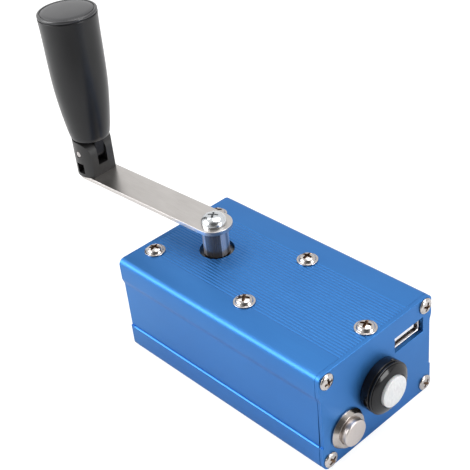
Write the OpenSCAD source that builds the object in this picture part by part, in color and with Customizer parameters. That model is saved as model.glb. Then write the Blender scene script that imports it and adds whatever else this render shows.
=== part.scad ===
// Hand crank generator: a waisted aluminium box with a folding crank on top,
// a step-up gear train and a generator inside, and a USB socket, a lamp and a push button in front.
// X runs along the box with the socket end at +X, Z is up, and the origin is under the middle of the box.

/* [Housing] */
// Width over the shoulders of the housing
body_w = 52; // [50:0.5:56]
// Height of the housing
body_h = 38; // [37.5:0.5:42]
// Length of the two extruded shells
shell_len = 88.7; // [88:0.5:100]
// Thickness of each end plate
plate_t = 1.5; // [1.2:0.1:2]
// Thickness of the top wall
top_wall = 1.8; // [1.6:0.1:2]
// Thickness of the floor
floor_wall = 1.6; // [1.2:0.1:2]
// Thickness of the side walls at the waist
side_wall = 1.55; // [1.35:0.05:1.65]
// How far the waist lies inside the shoulders
waist_in = 0.75; // [0.4:0.05:1]
// How far the foot stands out from the waist
foot_out = 0.5; // [0.2:0.05:0.7]
// Height of the straight shoulder under the top
shoulder_h = 7.5; // [6:0.5:9]
// Height of the curve from the shoulder to the waist
scurve_h = 3.2; // [2:0.2:5]
// Height of the seam between the two shells
seam_z = 9.6; // [9:0.2:11]
// Radius of the two top edges
top_edge_r = 2.2; // [1:0.2:2.6]
// Radius of the two bottom edges
bottom_edge_r = 2.5; // [1:0.1:2.8]

/* [Fluted band] */
// Width of the grooved band along the top
flute_band_w = 31.2; // [20:1.2:36]
// Distance from groove to groove
flute_pitch = 1.2; // [1:0.1:2]
// Depth of a groove
flute_depth = 0.2; // [0.1:0.05:0.4]

/* [End plate screws] */
// Distance of the end plate screws from the sides of the housing
plate_screw_in = 3.36; // [3.2:0.04:3.5]
// Distance of the upper end plate screws from the top of the housing
plate_screw_under = 3.06; // [3:0.02:3.2]
// Height of the lower end plate screws
plate_screw_low_z = 3.34; // [3.2:0.05:3.4]
// Radius of the screw channels in the shells
port_r = 2.4; // [2.2:0.1:2.4]
// Diameter of the thread of the end plate, lid and gearbox screws
screw_d = 2.9; // [2.4:0.1:3]

/* [Crank] */
// Distance of the crank shaft from the rear end of the shells
hub_from_rear = 19.95; // [19.35:0.05:20.85]
// Turn of the crank at rest, counted from the socket end
crank_turn = 182.57; // [0:0.01:360]
// Height of the top of the crank arm above the housing
arm_rise = 10.7; // [9:0.1:14]
// Thickness of the crank arm
arm_t = 1.5; // [1.2:0.1:2]
// Width of the crank arm
arm_w = 12.6; // [12:0.1:13]
// Distance from the crank shaft to the handle
crank_len = 61.1; // [60:0.5:80]
// Diameter of the steel hub
hub_d = 9; // [8.4:0.2:10]
// Diameter of the hole that the hub rises through
hub_hole_d = 12.1; // [11:0.1:14]
// Diameter of the crank shaft
shaft_d = 6; // [5.6:0.1:6.2]

/* [Handle] */
// Diameter of the round hinge base
yoke_d = 14; // [13.6:0.1:15]
// Distance of the hinge base's flat face from its axis
yoke_flat = 4.9; // [4.9:0.05:5]
// Height of the hinge pin above the arm
pin_h = 9.1; // [9:0.1:9.5]
// Diameter of the hinge pin
pin_d = 2.6; // [2:0.1:2.8]
// Width of the slot in the hinge base
yoke_slot_w = 4.2; // [3.6:0.1:4.6]
// Height of the slot's floor above the arm
yoke_floor = 4.2; // [4:0.05:4.3]
// Height of the grip's shoulder under its end cap
grip_top_h = 60.6; // [58:0.2:66]
// Diameter of the grip at its foot
grip_foot_d = 14; // [13:0.2:15]
// Diameter of the grip at its top
grip_top_d = 20.7; // [18:0.1:22]
// Thickness of the grip's end cap
cap_t = 1.7; // [1.2:0.1:2.4]
// Diameter of the stem inside the grip
stem_d = 6; // [5:0.2:6.6]

/* [Lid screws] */
// Distance of the rear gearbox screws from the rear end of the shells
lid_screw_from_rear = 4.35; // [4.15:0.05:4.55]
// Distance between the gearbox screws along the box
lid_screw_dx = 44; // [43.6:0.1:44]
// Distance between the gearbox screws across the box
lid_screw_dy = 29; // [28.6:0.1:30]
// Distance of the board screw from the front end of the shells
board_screw_from_front = 2.95; // [2.95:0.05:3.75]
// Diameter of the lid screw heads
lid_head_d = 7.2; // [6.6:0.1:7.4]

/* [Gear train] */
// Module of all gears
gear_m = 0.5; // [0.47:0.01:0.51]
// Teeth of the crank gear
crank_teeth = 60; // [58:1:60]
// Teeth of the first wheel
wheel1_teeth = 36; // [34:1:36]
// Teeth of the second wheel
wheel2_teeth = 30; // [28:1:30]
// Teeth of the three pinions
pinion_teeth = 12; // [12:1:12]
// Direction from the crank shaft to the first idler
idler1_turn = 24; // [22:1:26]
// Direction from the first idler to the second
idler2_turn = -78; // [-80:1:-76]
// Direction from the second idler to the generator
motor_turn = 20; // [18:1:24]
// Clear height between the gearbox plates
gearbox_gap = 12; // [12:0.1:12.4]
// Thickness of the upper gearbox plate
gearbox_top_t = 2; // [1.8:0.1:2.2]
// Thickness of the lower gearbox plate
gearbox_low_t = 1.6; // [1.4:0.1:2]

/* [Generator] */
// Diameter of the generator
motor_d = 21; // [19:0.5:21]
// Clear height between the generator and the floor
motor_floor_gap = 3.4; // [3:0.1:4.5]

/* [Socket] */
// Distance of the socket's metal shell from the side wall
usb_from_wall = 2.1; // [1.9:0.1:2.5]
// Width of the socket's metal shell
usb_w = 13.2; // [13.2:0.1:13.3]
// Height of the socket's metal shell
usb_h = 5.7; // [5.6:0.05:5.7]
// Distance of the circuit board from the top wall
board_drop = 3.7; // [3.66:0.02:3.7]
// Thickness of the circuit board
board_t = 1.6; // [1.4:0.1:1.6]

/* [Lamp] */
// Distance of the lamp from the middle of the plate
lamp_y = 0.4; // [0:0.1:0.8]
// How far the lamp's axis lies below the middle of the plate
lamp_below = 0.5; // [0.2:0.1:0.8]
// Diameter of the lamp's head
lamp_head_d = 18; // [17:0.2:18.2]
// How far the lamp's head stands out, without its window
lamp_out = 5.5; // [5:0.1:7]
// Diameter of the lamp's window
lamp_window_d = 10.7; // [10:0.1:11.2]
// Diameter of the lamp's threaded barrel
lamp_barrel_d = 15; // [14.6:0.1:15.2]

/* [Push button] */
// How far the push button lies from midway between the side wall and the lamp's head, towards the lamp
button_off = 1.15; // [1.15:0.05:1.35]
// Height of the push button's axis
button_z = 10.9; // [10.8:0.1:11.2]
// Diameter of the push button's flange
button_flange_d = 13.8; // [12.6:0.1:14]
// How far the flange stands out
button_flange_t = 2; // [1.6:0.1:2.2]
// Diameter of the part that is pressed
button_cap_d = 9.1; // [8:0.1:9.4]
// How far the pressed part stands out from the plate
button_cap_out = 3.9; // [3.8:0.1:4.4]
// Travel of the push button
button_travel = 1.5; // [1:0.1:1.6]

/* [Hidden] */
$fn = 48;

// Clearances: a loose hole round a screw, a running fit, a gap between parts, and the overrun of cuts
loose = 0.2;
running = 0.05;
gap = 0.3;
thin_gap = 0.1;
over = 0.5;

// Where things lie along the box and up it
body_len = shell_len + 2 * plate_t;
front_x = body_len / 2;
shell_x = shell_len / 2;
top_in = body_h - top_wall;
arm_top = body_h + arm_rise;
hub_x = hub_from_rear - shell_x;
gearbox_mid_x = lid_screw_from_rear + lid_screw_dx / 2 - shell_x;
board_screw_x = shell_x - board_screw_from_front;
plate_screw_dy = body_w - 2 * plate_screw_in;
plate_screw_top_z = body_h - plate_screw_under;
board_z = top_in - board_drop - board_t;
lamp_z = body_h / 2 - lamp_below;
gearbox_top = top_in;
pillar_top = gearbox_top - gearbox_top_t;
pillar_low = pillar_top - gearbox_gap;
gearbox_low = pillar_low - gearbox_low_t;

// Colours
blue = "#2f6fc4";
steel = "#c9c6c1";
nickel = "#d8cdc2";
black = "#2b2b2d";
brass = "#c9a44c";
copper = "#b5662c";

// Shapes that repeat

// Stands a shape that is drawn along Z on a point with its axis along the box
module facing(x, y, z) translate([x, y, z]) rotate([0, 90, 0]) children();

// A tube along Z
module tube(r_out, r_in, h) difference() {
    cylinder(r = r_out, h = h);
    translate([0, 0, -over]) cylinder(r = r_in, h = h + 2 * over);
}

// Outlines of the two kinds of screw head, as shares of the radius and of the height
rimmed_head_shares = [[0, 0], [1, 0], [1, 0.2], [0.84, 0.3], [0.79, 0.58], [0.62, 0.85], [0.35, 1], [0, 1]];
pan_head_shares = [[0, 0], [1, 0], [1, 0.3], [0.94, 0.62], [0.76, 0.86], [0.45, 1], [0, 1]];
// Width, length and depth of the cross in a head, as shares of the head
cross_w_share = 0.3;
cross_len_share = 1.15;
cross_depth_share = 0.6;

// A screw with its head standing up from z = 0 and its shank below
module screw(shares, head_d, head_h, shank_d, shank_len) {
    cross_len = head_d * cross_len_share / 2;
    cross_w = head_d * cross_w_share / 2;
    difference() {
        rotate_extrude() polygon([for (p = shares) [p[0] * head_d / 2, p[1] * head_h]]);
        for (a = [0, 90]) rotate([0, 0, a])
            translate([-cross_len / 2, -cross_w / 2, head_h * (1 - cross_depth_share)])
                cube([cross_len, cross_w, head_h]);
    }
    translate([0, 0, -shank_len]) cylinder(d = shank_d, h = shank_len);
}

// Gear teeth: stub involute teeth on a pressure angle of 25 degrees
pressure_angle = 25;
addendum_share = 0.8;
dedendum_share = 1.05;
backlash = gear_m * 0.16;

// Involute function of an angle, in degrees
function involute(a) = tan(a) * 180 / PI - a;

// Half the angle that a tooth fills at a radius
function tooth_half(teeth, r) = let (
        pitch_r = gear_m * teeth / 2,
        base_r = pitch_r * cos(pressure_angle),
        at = acos(min(1, base_r / r)))
    90 / teeth - backlash / pitch_r * 45 / PI + involute(pressure_angle) - involute(at);

// Outline of a gear with a tooth on the X axis
function gear_points(teeth) = let (
        pitch_r = gear_m * teeth / 2,
        base_r = pitch_r * cos(pressure_angle),
        root_r = pitch_r - gear_m * dedendum_share,
        tip_r = pitch_r + gear_m * addendum_share,
        foot_r = max(base_r, root_r),
        radii = [root_r, pitch_r, tip_r],
        halves = [tooth_half(teeth, foot_r), tooth_half(teeth, pitch_r), tooth_half(teeth, tip_r)])
    [for (k = [0:teeth - 1], s = [0:5])
        let (i = s < 3 ? s : 5 - s, a = 360 * k / teeth + (s < 3 ? -1 : 1) * halves[i])
        [radii[i] * cos(a), radii[i] * sin(a)]];

// A spur gear with a tooth pointing along turn
module gear(teeth, h, bore_r, turn) difference() {
    rotate([0, 0, turn]) linear_extrude(h) polygon(gear_points(teeth));
    translate([0, 0, -over]) cylinder(r = bore_r, h = h + 2 * over);
}

// Direction of the tooth gap that meets a tooth coming from turn
function gap_turn(turn, teeth) = turn + 180 + 180 / teeth;

// Points of a small tube's ring around a point of its route
function unit(v) = v / norm(v);
function ring(points, i, d, sides) = let (
        n = len(points),
        ahead = i == n - 1 ? points[i] - points[i - 1] : points[i + 1] - points[i],
        behind = i == 0 ? ahead : points[i] - points[i - 1],
        way = unit(unit(ahead) + unit(behind)),
        side = unit(cross(way, [0, 1, 0])),
        up = cross(side, way))
    [for (k = [0:sides - 1]) points[i] + d / 2 * (cos(360 * k / sides) * side + sin(360 * k / sides) * up)];

// A lead: one closed tube along its route
lead_sides = 8;
module lead(points, d) {
    n = len(points);
    polyhedron(
        points = [for (i = [0:n - 1]) each ring(points, i, d, lead_sides)],
        faces = concat(
            [[for (k = [0:lead_sides - 1]) k]],
            [for (i = [0:n - 2], k = [0:lead_sides - 1])
                [i * lead_sides + (k + 1) % lead_sides, i * lead_sides + k,
                    (i + 1) * lead_sides + k, (i + 1) * lead_sides + (k + 1) % lead_sides]],
            [[for (k = [lead_sides - 1:-1:0]) (n - 1) * lead_sides + k]]));
}

// The housing: two extruded shells that meet at a seam, closed by an end plate at each end

shoulder_half = body_w / 2;
waist_half = shoulder_half - waist_in;
foot_half = waist_half + foot_out;
inner_half_w = waist_half - side_wall;
usb_y = inner_half_w - usb_w / 2 - usb_from_wall;
button_y = button_off - (inner_half_w + lamp_head_d / 2 - lamp_y) / 2;
shoulder_low_z = body_h - shoulder_h;
waist_top_z = shoulder_low_z - scurve_h;
arc_steps = 8;
scurve_steps = 6;
// Width of a groove as a share of its pitch
groove_share = 0.7;
groove_w = flute_pitch * groove_share;
groove_count = round(flute_band_w / flute_pitch);
port_hole_d = screw_d + 2 * running;
// The lip inside the seam
lip_t = 1;
lip_h = 2.2;
lip_root = 2;
lip_gap = 0.15;
// How far the lip stops short of both ends
lip_short = 3;
lip_half = inner_half_w - lip_gap;
// The rails that carry the circuit board
rail_t = 1.15;
rail_in = 1.2;

// Points of a round edge about a centre, between two angles
function edge_arc(y, z, r, from, to) = [for (i = [0:arc_steps])
    let (a = from + (to - from) * i / arc_steps) [y + r * cos(a), z + r * sin(a)]];
// The curve from the waist out to the shoulder
scurve = [for (i = [0:scurve_steps]) [
    waist_half + waist_in * (1 - cos(180 * i / scurve_steps)) / 2,
    waist_top_z + scurve_h * i / scurve_steps]];
foot_side = concat(
    edge_arc(foot_half - bottom_edge_r, bottom_edge_r, bottom_edge_r, -90, 0),
    [[foot_half, seam_z]]);
upper_side = concat(
    [[waist_half, seam_z]], scurve,
    edge_arc(shoulder_half - top_edge_r, body_h - top_edge_r, top_edge_r, 0, 90));
function mirrored(points) = [for (i = [len(points) - 1:-1:0]) [-points[i][0], points[i][1]]];
// The grooves across the top, from +Y to -Y
grooves = [for (i = [0:groove_count - 1])
    let (y = (groove_count - 1) * flute_pitch / 2 - i * flute_pitch)
    each [[y + groove_w / 2, body_h], [y, body_h - flute_depth], [y - groove_w / 2, body_h]]];

// Extrudes an outline in Y and Z along the box
module along_box(from_x, length) translate([from_x, 0, 0]) rotate([90, 0, 90])
    linear_extrude(length) children();

// Places children at the four end plate screws, in Y and Z
module at_plate_screws(heights) for (y = [-1, 1] * plate_screw_dy / 2, z = heights)
    translate([y, z]) children();

// Places children at the four gearbox screws
module at_gearbox_screws() for (sx = [-1, 1], sy = [-1, 1])
    translate([gearbox_mid_x + sx * lid_screw_dx / 2, sy * lid_screw_dy / 2, 0]) children();

module upper_outline() polygon(concat(upper_side, grooves, mirrored(upper_side)));
module lower_outline() polygon(concat(foot_side, mirrored(foot_side)));

module upper_shell() color(blue) difference() {
    along_box(-shell_x, shell_len) difference() {
        union() {
            difference() {
                upper_outline();
                translate([-inner_half_w, seam_z - over]) square([2 * inner_half_w, top_in - seam_z + over]);
            }
            intersection() {
                at_plate_screws([plate_screw_top_z]) circle(r = port_r);
                upper_outline();
            }
            for (s = [-1, 1])
                translate([s * (inner_half_w - rail_in / 2 + over / 2), board_z - running - rail_t / 2])
                    square([rail_in + over, rail_t], center = true);
        }
        at_plate_screws([plate_screw_top_z]) circle(d = port_hole_d);
    }
    at_gearbox_screws() translate([0, 0, top_in - over])
        cylinder(d = screw_d + 2 * loose, h = top_wall + 2 * over);
    translate([board_screw_x, 0, top_in - over])
        cylinder(d = screw_d + 2 * loose, h = top_wall + 2 * over);
    translate([hub_x, 0, top_in - over]) cylinder(d = hub_hole_d, h = top_wall + 2 * over);
}

module lower_shell() color(blue) difference() {
    along_box(-shell_x, shell_len) difference() {
        union() {
            difference() {
                lower_outline();
                translate([-inner_half_w, floor_wall])
                    square([2 * inner_half_w, seam_z - lip_root - floor_wall]);
                translate([-lip_half + lip_t, seam_z - lip_root - over])
                    square([2 * (lip_half - lip_t), lip_root + 2 * over]);
            }
            intersection() {
                at_plate_screws([plate_screw_low_z]) circle(r = port_r);
                lower_outline();
            }
            for (s = [-1, 1]) translate([s * (lip_half - lip_t / 2), seam_z - lip_root / 2 + lip_h / 2])
                square([lip_t, lip_root + lip_h], center = true);
        }
        at_plate_screws([plate_screw_low_z]) circle(d = port_hole_d);
    }
    for (s = [-1, 1]) translate([s * shell_x - lip_short, -inner_half_w, seam_z - lip_root])
        cube([2 * lip_short, 2 * inner_half_w, lip_root + lip_h + over]);
}

// How far the plates, which have the outline of the shells, lie inside their sides
plate_inset = 0.05;
plate_side = [for (p = concat(foot_side, upper_side)) [p[0] - plate_inset, p[1]]];
usb_slot_w = usb_w + 2 * gap;
usb_slot_h = usb_h + thin_gap;
usb_z = board_z - usb_h / 2;
lamp_hole_d = lamp_barrel_d + 2 * thin_gap;
// Diameter of the push button's threaded barrel
button_barrel_d = 11.8;
button_hole_d = button_barrel_d + 2 * thin_gap;

module plate_blank(from_x) along_box(from_x, plate_t) difference() {
    polygon(concat(plate_side, mirrored(plate_side)));
    at_plate_screws([plate_screw_low_z, plate_screw_top_z]) circle(d = screw_d + 2 * loose);
}

module front_plate() color(blue) difference() {
    plate_blank(shell_x);
    translate([shell_x - over, usb_y - usb_slot_w / 2, usb_z - usb_slot_h / 2])
        cube([plate_t + 2 * over, usb_slot_w, usb_slot_h]);
    facing(shell_x - over, lamp_y, lamp_z) cylinder(d = lamp_hole_d, h = plate_t + 2 * over);
    facing(shell_x - over, button_y, button_z) cylinder(d = button_hole_d, h = plate_t + 2 * over);
}

module rear_plate() color(blue) plate_blank(-shell_x - plate_t);

// Fasteners of the housing
plate_head_d = 5.5;
plate_head_h = 1.1;
plate_screw_len = 9;
lid_head_h = 2;
gearbox_screw_len = 8;

module plate_screws(x, turn) color(nickel)
    for (y = [-1, 1] * plate_screw_dy / 2, z = [plate_screw_low_z, plate_screw_top_z])
        translate([x, y, z]) rotate([0, turn, 0])
            screw(pan_head_shares, plate_head_d, plate_head_h, screw_d, plate_screw_len);

module front_plate_screws() plate_screws(front_x, 90);
module rear_plate_screws() plate_screws(-front_x, -90);
module gearbox_screws() color(nickel) at_gearbox_screws() translate([0, 0, body_h])
    screw(rimmed_head_shares, lid_head_d, lid_head_h, screw_d, gearbox_screw_len);
module board_screw() color(nickel) translate([board_screw_x, 0, body_h])
    screw(rimmed_head_shares, lid_head_d, lid_head_h, screw_d, board_screw_len);

// The crank: a hub on the shaft, a flat arm and a folding handle that turns on its stem

// Places children on the arm's top face at the hub, with the arm running along X
module on_crank() translate([hub_x, 0, arm_top]) rotate([0, 0, crank_turn]) children();
// Places children on the arm at the handle's axis, still with the hub towards -X
module on_handle() on_crank() translate([crank_len, 0, 0]) children();

hub_foot_z = top_in + top_wall / 2;
arm_low = arm_top - arm_t;
// Square tenon of the hub, which drives the arm
tenon_w = 5;
tenon_h = 1.3;
crank_screw_d = 3.9;
crank_screw_len = 7.5;
crank_head_d = 8.7;
crank_head_h = 3.2;
// How far the shaft ends below the crank screw
shaft_room = 1.2;
shaft_top_z = arm_top - crank_screw_len - shaft_room;
// Pegs of the hinge base that keep it from turning on the arm
peg_d = 2;
peg_reach = 4.4;
hinge_screw_len = 3.6;
hinge_screw_head_d = 5.5;
hinge_screw_head_h = 1.5;

module crank_hub() color(steel) on_crank() difference() {
    union() {
        translate([0, 0, hub_foot_z - arm_top]) cylinder(d = hub_d, h = arm_low - hub_foot_z);
        translate([-tenon_w / 2, -tenon_w / 2, -arm_t - over]) cube([tenon_w, tenon_w, tenon_h + over]);
    }
    translate([0, 0, hub_foot_z - arm_top - over]) cylinder(d = shaft_d, h = shaft_top_z - hub_foot_z + over);
    translate([0, 0, shaft_top_z - arm_top - over])
        cylinder(d = crank_screw_d + 2 * running, h = arm_top - shaft_top_z + 2 * over);
}

module crank_arm() color(steel) on_crank() difference() {
    union() {
        for (x = [0, crank_len]) translate([x, 0, -arm_t]) cylinder(d = arm_w, h = arm_t);
        translate([0, -arm_w / 2, -arm_t]) cube([crank_len, arm_w, arm_t]);
    }
    translate([-tenon_w / 2 - running, -tenon_w / 2 - running, -arm_t - over])
        cube([tenon_w + 2 * running, tenon_w + 2 * running, arm_t + 2 * over]);
    translate([crank_len, 0, -arm_t - over]) cylinder(d = screw_d + 2 * loose, h = arm_t + 2 * over);
    for (s = [-1, 1]) translate([crank_len, s * peg_reach, -arm_t - over])
        cylinder(d = peg_d + 2 * running, h = arm_t + 2 * over);
}

module crank_screw() color(nickel) translate([hub_x, 0, arm_top])
    screw(pan_head_shares, crank_head_d, crank_head_h, crank_screw_d, crank_screw_len);

module output_shaft() color(steel) translate([hub_x, 0, gearbox_low + gap])
    cylinder(d = shaft_d, h = shaft_top_z - gearbox_low - gap);

// The hinge base: a round block with a flat face towards the hub, a slot for the stem and an eye for the pin
ear_r = yoke_flat;
yoke_back_wall = 1.6;
// Moulded pockets in both sides
pocket_w = 3.5;
pocket_low = 1.4;
pocket_h = 4;
pocket_deep = 3;
pin_len = yoke_d - 2 * loose;
// The flat tongue that turns in the slot
tongue_t = yoke_slot_w - 2 * thin_gap;
tongue_r = pin_h - yoke_floor - 2 * gap;
yoke_h = pin_h + ear_r;

// A cylinder across the handle, centred on its axis at the height of the hinge pin
module across(r, w) translate([0, w / 2, pin_h]) rotate([90, 0, 0]) cylinder(r = r, h = w);

module hinge_base() color(black) on_handle() {
    difference() {
        intersection() {
            cylinder(d = yoke_d, h = yoke_h);
            union() {
                translate([-yoke_flat, -yoke_d / 2, 0]) cube([yoke_flat + yoke_d / 2, yoke_d, pin_h]);
                translate([0, -yoke_d / 2, 0]) cube([yoke_d / 2, yoke_d, yoke_h]);
                across(ear_r, yoke_d);
            }
        }
        translate([-yoke_d, -yoke_slot_w / 2, yoke_floor])
            cube([yoke_d * 3 / 2 - yoke_back_wall, yoke_slot_w, yoke_d]);
        across(pin_d / 2, yoke_d + 2 * over);
        translate([0, 0, -over]) cylinder(d = screw_d + 2 * running, h = hinge_screw_len + thin_gap + over);
        for (s = [0, 180]) rotate([0, 0, s]) translate([-pocket_w / 2, yoke_d / 2 - pocket_deep, pocket_low])
            cube([pocket_w, pocket_deep + over, pocket_h]);
    }
    for (s = [-1, 1]) translate([0, s * peg_reach, thin_gap - arm_t]) cylinder(d = peg_d, h = arm_t);
}

module hinge_base_screw() color(nickel) on_handle() translate([0, 0, -arm_t]) mirror([0, 0, 1])
    screw(pan_head_shares, hinge_screw_head_d, hinge_screw_head_h, screw_d, hinge_screw_len + arm_t);

module hinge_pin() color(steel) on_handle() across(pin_d / 2, pin_len);

// The stem: a flat tongue on the hinge pin that carries a round rod
grip_foot_h = yoke_h + gap;
// Depth of the hollow under the end cap
well_depth = 6;
stem_top_h = grip_top_h - well_depth;
washer_r = 5.4;
washer_t = 0.8;
stem_screw_d = 3.2;
stem_screw_len = 6;
stem_head_d = 6.6;
stem_head_h = 2.2;
tongue_top_h = grip_foot_h - loose;

module handle_stem() color(steel) on_handle() difference() {
    union() {
        across(tongue_r, tongue_t);
        translate([-tongue_r, -tongue_t / 2, pin_h]) cube([2 * tongue_r, tongue_t, tongue_top_h - pin_h]);
        translate([0, 0, tongue_top_h]) cylinder(d = stem_d, h = stem_top_h - tongue_top_h);
    }
    across(pin_d / 2 + running, yoke_d);
    translate([0, 0, stem_top_h - stem_screw_len - thin_gap])
        cylinder(d = stem_screw_d + 2 * running, h = stem_screw_len + over);
}

module stem_washer() color(steel) on_handle() translate([0, 0, stem_top_h])
    tube(washer_r, stem_screw_d / 2 + thin_gap, washer_t);

module stem_screw() color(nickel) on_handle() translate([0, 0, stem_top_h + washer_t])
    screw(pan_head_shares, stem_head_d, stem_head_h, stem_screw_d, stem_screw_len + washer_t);

// Outline of the grip: shares of its length, and of the way from the foot's radius to the top's
grip_shares = [[0.02, 0.06], [0.08, 0.22], [0.15, 0.36], [0.22, 0.49], [0.3, 0.615], [0.4, 0.745],
    [0.52, 0.835], [0.65, 0.88], [0.78, 0.905], [0.88, 0.93], [0.95, 0.97]];
grip_len = grip_top_h - grip_foot_h;
grip_rim = 0.5;
grip_foot_r = grip_foot_d / 2;
grip_top_r = grip_top_d / 2;
grip_bore_r = stem_d / 2 + running + thin_gap / 4;
// The hollow under the end cap, which holds the washer and the screw
well_r = 7.2;
well_floor_h = stem_top_h - loose;
plug_len = 2.5;
plug_wall = 1.6;
// Outline of the end cap, as shares of its radius and of its thickness
cap_shares = [[0, 0], [1, 0], [1, 0.3], [0.985, 0.52], [0.95, 0.68], [0.86, 0.8], [0.5, 0.95], [0, 1]];

module grip() color(black) on_handle() difference() {
    rotate_extrude() polygon(concat(
        [[0, grip_foot_h], [grip_foot_r - grip_rim, grip_foot_h], [grip_foot_r, grip_foot_h + grip_rim]],
        [for (p = grip_shares)
            [grip_foot_r + (grip_top_r - grip_foot_r) * p[1], grip_foot_h + grip_len * p[0]]],
        [[grip_top_r, grip_top_h], [0, grip_top_h]]));
    translate([0, 0, grip_foot_h - over]) cylinder(r = grip_bore_r, h = grip_len);
    translate([0, 0, well_floor_h]) cylinder(r = well_r, h = grip_top_h - well_floor_h + over);
}

module grip_cap() color(black) on_handle() union() {
    translate([0, 0, grip_top_h]) rotate_extrude()
        polygon([for (p = cap_shares) [grip_top_d / 2 * p[0], cap_t * p[1]]]);
    translate([0, 0, grip_top_h - plug_len]) tube(well_r, well_r - plug_wall, plug_len + thin_gap);
}

// The gearbox: two plates on four pillars, with the crank gear, two idlers and the generator's pinion

pitch_crank = gear_m * crank_teeth / 2;
pitch_wheel1 = gear_m * wheel1_teeth / 2;
pitch_wheel2 = gear_m * wheel2_teeth / 2;
pitch_pinion = gear_m * pinion_teeth / 2;
function polar(r, a) = [r * cos(a), r * sin(a)];
crank_at = [hub_x, 0];
idler1_at = crank_at + polar(pitch_crank + pitch_pinion, idler1_turn);
idler2_at = idler1_at + polar(pitch_wheel1 + pitch_pinion, idler2_turn);
motor_at = idler2_at + polar(pitch_wheel2 + pitch_pinion, motor_turn);

// Places children on a gear's axis
module at_axis(at, z) translate([at[0], at[1], z]) children();

pillar_r = 3;
plate_margin = 3.8;
// Room between the gearbox plates and the screw channels
gearbox_side_gap = 0.6;
gearbox_x0 = gearbox_mid_x - lid_screw_dx / 2 - plate_margin;
gearbox_x1 = gearbox_mid_x + lid_screw_dx / 2 + plate_margin + gap;
gearbox_y = plate_screw_dy / 2 - port_r - gearbox_side_gap;
bush_r = 4.5;
bush_flange_r = 5.6;
bush_flange_t = 0.6;
idler_shaft_d = 3;
motor_boss_r = 3;
motor_boss_h = 1.2;
motor_screw_reach = 8;
motor_screw_d = 1.9;
motor_screw_len = 3;
motor_screw_head_d = 3.8;
motor_screw_head_h = 1;
pillar_screw_len = 5;

// Heights of the three layers of gears, from the top plate down
crank_gear_t = 3;
wheel_t = 2.4;
layer_gap = 1;
crank_gear_z = pillar_top - layer_gap - crank_gear_t;
wheel1_z = crank_gear_z - layer_gap - wheel_t;
wheel2_z = wheel1_z - layer_gap - wheel_t;

module gearbox_plate(z, t) translate([gearbox_x0, -gearbox_y, z])
    cube([gearbox_x1 - gearbox_x0, 2 * gearbox_y, t]);

module gearbox_top_plate() color(steel) difference() {
    gearbox_plate(pillar_top, gearbox_top_t);
    at_gearbox_screws() translate([0, 0, pillar_top - over])
        cylinder(d = screw_d + 2 * loose, h = gearbox_top_t + 2 * over);
    at_axis(crank_at, pillar_top - over) cylinder(r = bush_r, h = gearbox_top_t + 2 * over);
    for (at = [idler1_at, idler2_at]) at_axis(at, pillar_top - over)
        cylinder(d = idler_shaft_d, h = gearbox_top_t + 2 * over);
}

module gearbox_low_plate() color(steel) difference() {
    gearbox_plate(gearbox_low, gearbox_low_t);
    at_gearbox_screws() translate([0, 0, gearbox_low - over])
        cylinder(d = screw_d + 2 * loose, h = gearbox_low_t + 2 * over);
    at_axis(crank_at, gearbox_low - over) cylinder(r = bush_r, h = gearbox_low_t + 2 * over);
    for (at = [idler1_at, idler2_at]) at_axis(at, gearbox_low - over)
        cylinder(d = idler_shaft_d, h = gearbox_low_t + 2 * over);
    at_axis(motor_at, gearbox_low - over) cylinder(r = motor_boss_r + running, h = gearbox_low_t + 2 * over);
    for (s = [-1, 1]) at_axis(motor_at + [0, s * motor_screw_reach], gearbox_low - over)
        cylinder(d = motor_screw_d + 2 * loose, h = gearbox_low_t + 2 * over);
}

module gearbox_pillars() color(brass) at_gearbox_screws() translate([0, 0, pillar_low])
    tube(pillar_r, screw_d / 2 + running, gearbox_gap);

module gearbox_plate_screws() color(nickel) at_gearbox_screws() translate([0, 0, gearbox_low])
    mirror([0, 0, 1]) screw(pan_head_shares, plate_head_d, plate_head_h, screw_d, pillar_screw_len);

// A flanged bush for the crank shaft, with its flange on the gear side
module shaft_bush(t) {
    tube(bush_r, shaft_d / 2 + running, t);
    translate([0, 0, -bush_flange_t]) tube(bush_flange_r, shaft_d / 2 + running, bush_flange_t);
}
module shaft_bush_upper() color(brass) at_axis(crank_at, pillar_top) shaft_bush(gearbox_top_t);
module shaft_bush_lower() color(brass) at_axis(crank_at, pillar_low)
    mirror([0, 0, 1]) shaft_bush(gearbox_low_t);

// The crank gear with its boss on the shaft
gear_boss_r = 5;
module crank_gear() color(steel) at_axis(crank_at, 0) {
    translate([0, 0, crank_gear_z]) gear(crank_teeth, crank_gear_t, shaft_d / 2, idler1_turn);
    translate([0, 0, pillar_low + bush_flange_t + thin_gap])
        tube(gear_boss_r, shaft_d / 2, crank_gear_z - pillar_low - bush_flange_t);
}

idler_bore_r = idler_shaft_d / 2 + running;
module first_idler() color(brass) at_axis(idler1_at, 0) {
    translate([0, 0, wheel1_z]) gear(wheel1_teeth, wheel_t, idler_bore_r, idler2_turn);
    translate([0, 0, wheel1_z + wheel_t])
        gear(pinion_teeth, pillar_top - gap - wheel1_z - wheel_t, idler_bore_r,
            gap_turn(idler1_turn, pinion_teeth));
}

module second_idler() color(brass) at_axis(idler2_at, 0) {
    translate([0, 0, wheel2_z]) gear(wheel2_teeth, wheel_t, idler_bore_r, motor_turn);
    translate([0, 0, wheel2_z + wheel_t])
        gear(pinion_teeth, wheel1_z + gap - wheel2_z, idler_bore_r, gap_turn(idler2_turn, pinion_teeth));
}

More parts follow.
